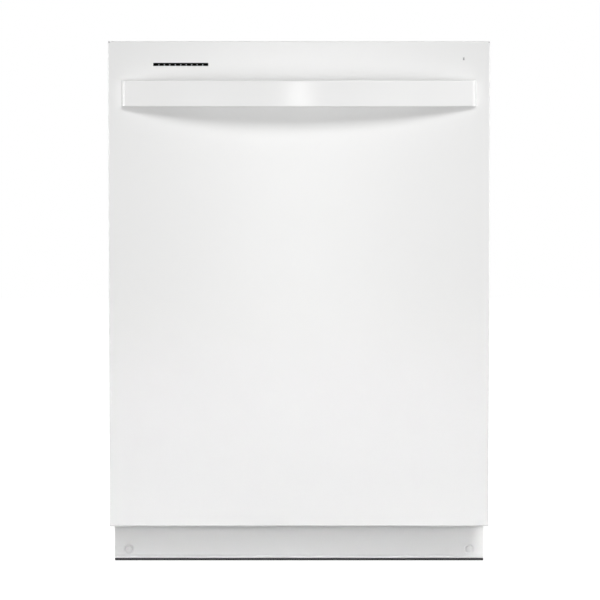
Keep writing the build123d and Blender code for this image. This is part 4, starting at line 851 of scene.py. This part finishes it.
@dataclass
class BarHandle:
    """Bowed bar on the door, in millimetres."""

    length: float = 563.0
    height: float = 41.0
    middle: float = 762.0
    face: float = -281.0
    reach: float = 60.0
    thick: float = 13.0
    end: float = 9.0
    pad: float = 34.0
    draft: float = 3.8
    foot: float = 1.2
    edge: float = 1.2
    rear_edge: float = 0.6
    steps: int = 120

    def arc(self, half: float, rise: float, x: float) -> float:
        """Height of a circular bow over its chord at a place along it.

        Args:
            half: half the chord.
            rise: height of the bow at its middle.
            x: place along the chord.

        Returns:
            The height there.
        """
        radius = (half * half + rise * rise) / (2 * rise)
        return math.sqrt(radius * radius - x * x) - (radius - rise)

    def front(self, x: float) -> float:
        """Depth of the front face at a place along the bar, whose ends slope to the door."""
        half = self.length / 2
        y = self.face - self.end - self.arc(half, self.reach - self.end, x)
        outward = max(0.0, abs(x) - (half - self.draft)) / self.draft
        return y + outward * (self.face - self.foot - y)

    def back(self, x: float) -> float:
        """Depth of the rear face at a place along the bar."""
        half = self.length / 2 - self.pad
        if abs(x) >= half:
            return self.face
        return self.face - self.arc(half, self.reach - self.thick, x)

    def section(self, x: float) -> list[Point]:
        """Closed outline of the bar at one place, its edges rounded.

        The last two points lie close to the front edges and keep the face between them flat.
        """
        y0, y1 = self.front(x), self.back(x)
        z0, z1 = self.middle - self.height / 2, self.middle + self.height / 2
        near, far = min(self.edge, 0.6 * (y1 - y0)), min(self.rear_edge, 0.3 * (y1 - y0))
        corners = ((y0, z0, near, 180), (y1, z0, far, 270), (y1, z1, far, 0), (y0, z1, near, 90))
        outline: list[Point] = []
        for cy, cz, r, turn in corners:
            oy = cy + (r if cy == y0 else -r)
            oz = cz + (r if cz == z0 else -r)
            for step in range(6):
                angle = math.radians(turn + 18 * step)
                outline.append((x, oy + r * math.cos(angle), oz + r * math.sin(angle)))
        return [*outline, (x, y0, z1 - 2 * near), (x, y0, z0 + 2 * near)]

    def build(self) -> bpy.types.Object:
        """Make the bar and hide its CAD solid."""
        half = self.length / 2
        places = [-half, *spread(self.draft - half, half - self.draft, self.steps), half]
        work = bmesh.new()
        rings = [[work.verts.new(Vector(p) * MM) for p in self.section(x)] for x in places]
        count = len(rings[0])
        for near, far in zip(rings[:-1], rings[1:]):
            for i in range(count):
                j = (i + 1) % count
                work.faces.new((near[i], near[j], far[j], far[i]))
        work.faces.new(rings[0])
        work.faces.new(list(reversed(rings[-1])))
        bmesh.ops.recalc_face_normals(work, faces=work.faces[:])
        mesh = bpy.data.meshes.new("bar_handle")
        work.to_mesh(mesh)
        work.free()
        mesh.materials.append(material_of(Finish.HANDLE))
        return declare(link_mesh("bar_handle", mesh, 50.0), "door", "handle_white", "handle")


@dataclass
class BalanceSpring:
    """Coil spring between the hinge tail and the base, in millimetres."""

    side: int
    x: float = 285.8
    tail: tuple[float, float] = (-211.0, 125.0)
    peg: tuple[float, float] = (-71.0, 78.33)
    coil: float = 4.4
    wire: float = 0.7
    turns: float = 52.0
    wound: tuple[float, float] = (0.14, 0.86)
    eye: float = 4.7
    end_wire: float = 1.1
    shank: float = 0.035
    hook: float = 0.16
    tilt: float = 0.3
    clear: float = 0.04

    def along(self, share: float) -> Vector:
        """A point of the axis, from the tail at 0 to the peg at 1."""
        (y0, z0), (y1, z1) = self.tail, self.peg
        return Vector((self.side * self.x, y0 + share * (y1 - y0), z0 + share * (z1 - z0)))

    def coils(self) -> bpy.types.Mesh:
        """The wound part."""
        start, end = (self.along(share) * MM for share in self.wound)
        run = end - start
        turn = Vector((0, 0, 1)).rotation_difference(run).to_euler()
        tree = NodeTree(
            "coil",
            {
                "Turns": (FLOAT, self.turns),
                "Coil radius": (FLOAT, self.coil * MM),
                "Wire radius": (FLOAT, self.wire * MM),
                "Length": (FLOAT, run.length),
                "Place": ("NodeSocketVector", tuple(start)),
                "Turn": ("NodeSocketRotation", tuple(turn)),
            },
        )
        helix = tree.add(
            "GeometryNodeCurveSpiral",
            {},
            {
                "Resolution": 14,
                "Rotations": tree.given("Turns"),
                "Start Radius": tree.given("Coil radius"),
                "End Radius": tree.given("Coil radius"),
                "Height": tree.given("Length"),
            },
        )
        placed = tree.add(
            "GeometryNodeTransform",
            {},
            {
                "Geometry": tree.tube(helix, 6, tree.given("Wire radius")),
                "Translation": tree.given("Place"),
                "Rotation": tree.given("Turn"),
            },
        )
        return tree.mesh(bpy.data.meshes.new("start"), placed, Finish.ZINC)

    def end(self, share: float) -> list[bpy.types.Mesh]:
        """The eye at one end of the axis and the straight wire from there to the coils."""
        c, inward = self.along(share), 1 - 2 * share
        ring = [(c.x, c.y + y, c.z + z) for y, z in circle(self.eye, 24)]
        shank = [tuple(self.along(share + inward * reach)) for reach in (self.shank, self.hook)]
        return [
            bent_wire([ring], self.end_wire, 0.1, True, Finish.ZINC),
            bent_wire([shank], self.end_wire, 0.5, False, Finish.ZINC),
        ]

    def stretch(self, piece: bpy.types.Object, start: float, end: float) -> None:
        """Bake a piece's transform into its mesh and hide the CAD springs.

        Args:
            piece: the piece.
            start: share of the axis where it would still stay with the base, not used.
            end: share of the axis where it would move with the door, not used.
        """
        places = {"start": tuple(self.along(start) * MM), "end": tuple(self.along(end) * MM)}
        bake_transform(piece)
        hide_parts("door_springs")
        LOG.info("piece %s bends between cabinet and door", piece.name)


def build_springs() -> None:
    """Both balance springs as two pieces fixed in place: the coils with the eyes and shanks at the
    pegs, and the eyes and shanks at the tails.
    """
    pair = BalanceSpring(-1), BalanceSpring(1)
    coils = [mesh for spring in pair for mesh in (spring.coils(), *spring.end(1.0))]
    tails = [mesh for spring in pair for mesh in spring.end(0.0)]
    spring = pair[1]
    spring.stretch(joined("balance_springs", coils, Finish.ZINC), 1.0, 1.0 - 1.0 / spring.tilt)
    follow = (spring.hook - spring.clear) / (1.0 - spring.tilt * (1.0 - spring.hook))
    tail_piece = joined("spring_tails", tails, Finish.ZINC)
    spring.stretch(tail_piece, spring.clear + follow, spring.clear)


@dataclass
class ScrewSet:
    """Like screws that face one way, in millimetres."""

    name: str
    body: str
    places: Sequence[Point]
    facing: Point
    radius: float = 3.4
    height: float = 1.8
    taper: float = 0.72
    recess: tuple[float, float] = (1.2, 0.3)

    def build(self) -> bpy.types.Object:
        """Make the heads, each with a cross recess."""
        length, width = (share * self.radius * MM for share in self.recess)
        tree = NodeTree(
            "screw_heads",
            {
                "Head radius": (FLOAT, self.radius * MM),
                "Head height": (FLOAT, self.height * MM),
                "Facing": ("NodeSocketVector", self.facing),
                "Top radius": (FLOAT, self.taper * self.radius * MM),
                "Recess length": (FLOAT, length),
                "Recess width": (FLOAT, width),
            },
        )
        head = tree.add(
            "GeometryNodeMeshCone",
            {"fill_type": "NGON"},
            {
                "Vertices": 20,
                "Side Segments": 1,
                "Radius Top": tree.given("Top radius"),
                "Radius Bottom": tree.given("Head radius"),
                "Depth": tree.given("Head height"),
            },
        )
        cutters = []
        sides = tree.given("Recess length"), tree.given("Recess width")
        tall = tree.given("Head height")
        for x, y in (sides, sides[::-1]):
            size = tree.add("ShaderNodeCombineXYZ", {}, {"X": x, "Y": y, "Z": tall})
            bar = tree.add("GeometryNodeMeshCube", {}, {"Size": size})
            lift = tree.add("ShaderNodeCombineXYZ", {}, {"Z": tall})
            raised = {"Geometry": bar, "Translation": lift}
            cutters.append(tree.add("GeometryNodeTransform", {}, raised))
        minus = {"operation": "DIFFERENCE", "solver": "EXACT"}
        cut = tree.add("GeometryNodeMeshBoolean", minus, {"Mesh 1": head, "Mesh 2": cutters})
        facing = {"Vector": tree.given("Facing")}
        turn = tree.add("FunctionNodeAlignRotationToVector", {"axis": "Z"}, facing)
        copies = {"Points": tree.given("Geometry"), "Instance": cut, "Rotation": turn}
        screws = tree.add("GeometryNodeInstanceOnPoints", {}, copies)
        source = bpy.data.meshes.new("places")
        source.from_pydata([tuple(c * MM for c in p) for p in self.places], [], [])
        piece = link_mesh(self.name, tree.mesh(source, screws, Finish.BRIGHT), 30.0)
        return declare(piece, self.body, "screw_zinc")


@dataclass
class JetSet:
    """Raised jets along the blades of a spray arm, in millimetres."""

    body: str
    top: float
    reach: float
    sweep: float
    centre: float = 50.0
    radius: float = 2.9
    bead: float = 0.8
    lift: float = 0.2
    first: float = 0.3
    last: float = 0.92
    count: int = 5

    def build(self) -> bpy.types.Object:
        """Make the jet rings over the holes of the arm."""
        rings = []
        z = self.top + self.lift
        for side in (-1, 1):
            for share in spread(self.first, self.last, self.count):
                x, y = side * share * self.reach, self.centre + side * share * self.sweep
                rings.append([(x + dx, y + dy, z) for dx, dy in circle(self.radius, 18)])
        beads = bent_wire(rings, self.bead, 0.1, True, Finish.GREY)
        piece = joined(f"{self.body}_jets", [beads], Finish.GREY)
        return declare(piece, self.body, "grey_plastic")


@dataclass
class VentRibs:
    """Rounded fronts of the ribs between the slots of the vent, in millimetres."""

    first: float = -222.28
    last: float = -152.92
    count: int = 9
    low: float = 805.8
    high: float = 807.9
    depth: float = -280.5
    radius: float = 0.55

    def build(self) -> bpy.types.Object:
        """Make the fronts on the ribs of the louvre."""
        places = spread(self.first, self.last, self.count)
        paths = [[(x, self.depth, z) for z in (self.low, self.high)] for x in places]
        fronts = bent_wire(paths, self.radius, 0.1, False, Finish.PALE)
        return declare(joined("vent_ribs", [fronts], Finish.PALE), "door", "pale_plastic")


def off_line(place: float, first: float, period: float) -> float:
    """Distance of a place from the nearest of many evenly spaced lines."""
    return abs((place - first + period / 2) % period - period / 2)


@dataclass
class SoundBlanket:
    """Soft fibre wrap over the tub, in millimetres."""

    voxel: float = 5.6
    phase: float = 7.0
    ripple: float = 1.6
    drawn_in: float = 1.8
    seam: float = 7.0
    seams_z: tuple[float, float] = (170.0, 160.0)
    seams_y: tuple[float, float] = (-193.0, 170.0)
    side: float = 284.0
    back: float = 318.0
    top: float = 818.0

    def build(self) -> bpy.types.Object:
        """Make a rounded, slightly uneven wrap in the space of its CAD solid."""
        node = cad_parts["tub_blanket"]
        work = bmesh.new()
        work.from_mesh(node.data)
        bmesh.ops.remove_doubles(work, verts=work.verts[:], dist=1e-6)
        mesh = bpy.data.meshes.new("sound_blanket")
        work.to_mesh(mesh)
        work.free()
        piece = in_scene("sound_blanket", mesh)
        remesh = piece.modifiers.new("remesh", "REMESH")
        remesh.mode = "VOXEL"
        remesh.voxel_size = self.voxel * MM
        smooth = piece.modifiers.new("smooth", "SMOOTH")
        smooth.factor = 0.5
        smooth.iterations = 4
        graph = bpy.context.evaluated_depsgraph_get()
        shaped = bpy.data.meshes.new_from_object(piece.evaluated_get(graph))
        piece.modifiers.clear()
        piece.data = shaped
        bpy.data.meshes.remove(mesh)
        self.press(shaped)
        shaped.materials.clear()
        shaped.materials.append(material_of(Finish.FELT))
        shaped.shade_smooth()
        declare(piece, "cabinet", "felt", "tub_blanket")
        return piece

    def wave(self, x: float, y: float, z: float) -> float:
        """Slow unevenness of the fibre at a place, from -2 to 2."""
        fold = math.sin(y / 31.0 + self.phase) * math.sin(z / 43.0)
        return fold + math.sin(x / 37.0 + z / 29.0)

    def inward(self, x: float, y: float, z: float) -> Vector:
        """Direction into the wrap at a place of its outer faces, or nothing elsewhere."""
        if y > self.back:
            return Vector((0.0, -1.0, 0.0))
        if z > self.top:
            return Vector((0.0, 0.0, -1.0))
        return Vector((-math.copysign(1.0, x) if abs(x) > self.side else 0.0, 0.0, 0.0))

    def press(self, mesh: bpy.types.Mesh) -> None:
        """Draw the outer faces in along stitched lines, so that the wrap lies in soft fields."""
        for vertex in mesh.vertices:
            x, y, z = (c / MM for c in vertex.co)
            line = min(off_line(z, *self.seams_z), off_line(y, *self.seams_y))
            draw = self.drawn_in * math.exp(-((line / self.seam) ** 2))
            sink = self.ripple * 0.5 * (1.0 + 0.5 * self.wave(x, y, z))
            vertex.co += self.inward(x, y, z) * (draw + sink) * MM


@dataclass(frozen=True)
class Lamp:
    """Soft panel of light that faces a point, in metres and watts, its fan in degrees."""

    name: str
    place: Point
    width: float
    height: float
    power: float
    target: Point = (0.0, -0.28, 0.45)
    fan: float = 180.0

    def build(self) -> None:
        """Hang the panel."""
        data = bpy.data.lights.new(self.name, "AREA")
        data.shape = "RECTANGLE"
        data.size = self.width
        data.size_y = self.height
        data.energy = self.power
        data.spread = math.radians(self.fan)
        lamp = in_scene(self.name, data)
        lamp.location = self.place
        facing = Vector(self.target) - Vector(self.place)
        lamp.rotation_euler = facing.to_track_quat("-Z", "Y").to_euler()


@dataclass
class Stage:
    """Floor, light and camera of the picture, in metres."""

    eye: Point = (0.0015, -5.651, 0.808)
    pitch: float = 3.992
    lens: float = 202.7
    sensor: float = 36.0
    sight: float = 50.0
    ambient: float = 0.08
    bounce: float = 0.15
    floor_half: float = 6.0
    floor_grey: float = 0.85
    floor_glow: float = 1.25
    glow_share: float = 0.8
    lamps: tuple[Lamp, ...] = (
        Lamp("key", (1.35, -4.5, 3.15), 1.4, 1.4, 129.0),
        Lamp("band", (0.0, -4.0, 0.5), 0.3, 1.0, 8.5),
        Lamp("low", (0.0, -1.7, 0.42), 1.8, 0.7, 5.3, (0.0, -0.2, 0.2)),
        Lamp("skirt", (0.0, -4.0, 0.7), 1.2, 0.3, 0.27, (0.0, -0.28, 0.1), 10.0),
        Lamp("toe_left", (-1.3, -0.75, 0.05), 0.3, 0.06, 0.017, (-0.24, -0.2, 0.03), 10.0),
        Lamp("toe_right", (1.3, -0.75, 0.05), 0.3, 0.06, 0.016, (0.24, -0.2, 0.03), 10.0),
        Lamp("left", (-2.0, -0.33, 0.6), 0.12, 1.2, 16.0, (-0.3, -0.33, 0.6)),
        Lamp("right", (2.0, -0.33, 0.6), 0.12, 1.2, 12.0, (0.3, -0.33, 0.6)),
        Lamp("top", (0.0, 0.3, 2.4), 1.2, 1.1, 5.0, (0.0, 0.3, 0.8)),
        Lamp("rear_left", (-2.4, 2.2, 2.4), 0.8, 0.8, 75.0, (0.0, 0.2, 0.4)),
        Lamp("rear_right", (2.6, 1.4, 2.6), 0.8, 0.8, 35.0, (0.0, 0.2, 0.4)),
    )

    def camera(self) -> None:
        """Make the camera and make it the scene's own."""
        data = bpy.data.cameras.new("camera")
        data.lens = self.lens
        data.sensor_width = self.sensor
        data.clip_end = self.sight
        camera = in_scene("camera", data)
        camera.location = self.eye
        camera.rotation_euler = (math.radians(90.0 - self.pitch), 0.0, 0.0)
        bpy.context.scene.camera = camera

    def world(self) -> None:
        """White for the camera and for reflections, a plain grey for light."""
        world = bpy.data.worlds.new("studio")
        world.use_nodes = True
        nodes, links = world.node_tree.nodes, world.node_tree.links
        nodes.clear()
        path = nodes.new("ShaderNodeLightPath")
        seen = path.outputs["Is Camera Ray"]
        for name in ("Is Glossy Ray", "Is Transmission Ray"):
            either = nodes.new("ShaderNodeMath")
            either.operation = "MAXIMUM"
            links.new(seen, either.inputs[0])
            links.new(path.outputs[name], either.inputs[1])
            seen = either.outputs[0]
        strength = nodes.new("ShaderNodeMapRange")
        strength.inputs["To Min"].default_value = self.ambient
        strength.inputs["To Max"].default_value = 1.0
        links.new(seen, strength.inputs["Value"])
        back = nodes.new("ShaderNodeBackground")
        back.inputs["Color"].default_value = (1.0, 1.0, 1.0, 1.0)
        links.new(strength.outputs[0], back.inputs["Strength"])
        output = nodes.new("ShaderNodeOutputWorld")
        links.new(back.outputs[0], output.inputs["Surface"])
        bpy.context.scene.world = world

    def floor(self) -> None:
        """Pale floor that keeps a soft shadow and fades into the white behind it."""
        mesh = bpy.data.meshes.new("floor")
        size = self.floor_half
        corners = [(-size, -size, 0), (size, -size, 0), (size, size, 0), (-size, size, 0)]
        mesh.from_pydata(corners, [], [(0, 1, 2, 3)])
        floor = in_scene("floor", mesh)
        material = bpy.data.materials.new("floor_white")
        material.use_nodes = True
        nodes, links = material.node_tree.nodes, material.node_tree.links
        nodes.clear()
        matte = nodes.new("ShaderNodeBsdfDiffuse")
        matte.inputs["Color"].default_value = (*[self.floor_grey] * 3, 1.0)
        glow = nodes.new("ShaderNodeEmission")
        path = nodes.new("ShaderNodeLightPath")
        level = nodes.new("ShaderNodeMapRange")
        level.inputs["To Min"].default_value = self.bounce
        level.inputs["To Max"].default_value = self.floor_glow
        links.new(path.outputs["Is Camera Ray"], level.inputs["Value"])
        links.new(level.outputs[0], glow.inputs["Strength"])
        mix = nodes.new("ShaderNodeMixShader")
        mix.inputs[0].default_value = self.glow_share
        links.new(matte.outputs[0], mix.inputs[1])
        links.new(glow.outputs[0], mix.inputs[2])
        output = nodes.new("ShaderNodeOutputMaterial")
        links.new(mix.outputs[0], output.inputs["Surface"])
        mesh.materials.append(material)

    def build(self) -> None:
        """Set up the whole picture."""
        bpy.context.scene.view_settings.view_transform = "Standard"
        self.camera()
        for lamp in self.lamps:
            lamp.build()
        self.world()
        self.floor()


def liner_screws() -> list[Point]:
    """Screws down both sides of the inner door, within its height."""
    low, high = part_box("door_liner")
    places = mirrored(294.5, -235.0, (260.0, 420.0, 580.0, 740.0))
    return [p for p in places if low.z / MM < p[2] < high.z / MM]


LOWER_RACK = WireRack(
    body="lower_rack", half=250.0, floor=190.0, height=128.0, cross=11,
    tine_rows=slice(3, None, 2), tine_half=210.0, tine_count=9, tine_height=78.0, lean=14.0,
)
UPPER_RACK = WireRack(
    body="upper_rack", half=245.0, floor=525.0, height=115.0, cross=9,
    tine_rows=slice(1, -1), tine_half=245.0 / 3, tine_count=3, tine_height=46.0, lean=8.0,
)
LINER_SCREWS = ScrewSet(
    name="liner_screws", body="door", places=liner_screws(), facing=(0.0, 1.0, 0.0)
)
FRAME_SCREWS = ScrewSet(
    name="frame_screws", body="cabinet", facing=(0.0, -1.0, 0.0),
    places=mirrored(292.5, -211.0, (230.0, 430.0, 630.0, 800.0)),
)
LOWER_JETS = JetSet(body="lower_spray_arm", top=165.3, reach=223.0, sweep=22.0)


def main() -> None:
    """Dress the CAD nodes, add the finer pieces and set the stage."""
    logging.basicConfig(level=logging.INFO, format="%(name)s: %(message)s")
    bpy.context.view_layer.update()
    Stage().build()
    dress_cad_nodes()
    BarHandle().build()
    LOWER_RACK.build(WheelHangers().meshes())
    UPPER_RACK.build()
    build_springs()
    LINER_SCREWS.build()
    FRAME_SCREWS.build()
    LOWER_JETS.build()
    VentRibs().build()
    SoundBlanket().build()


if __name__ == "__main__":
    main()
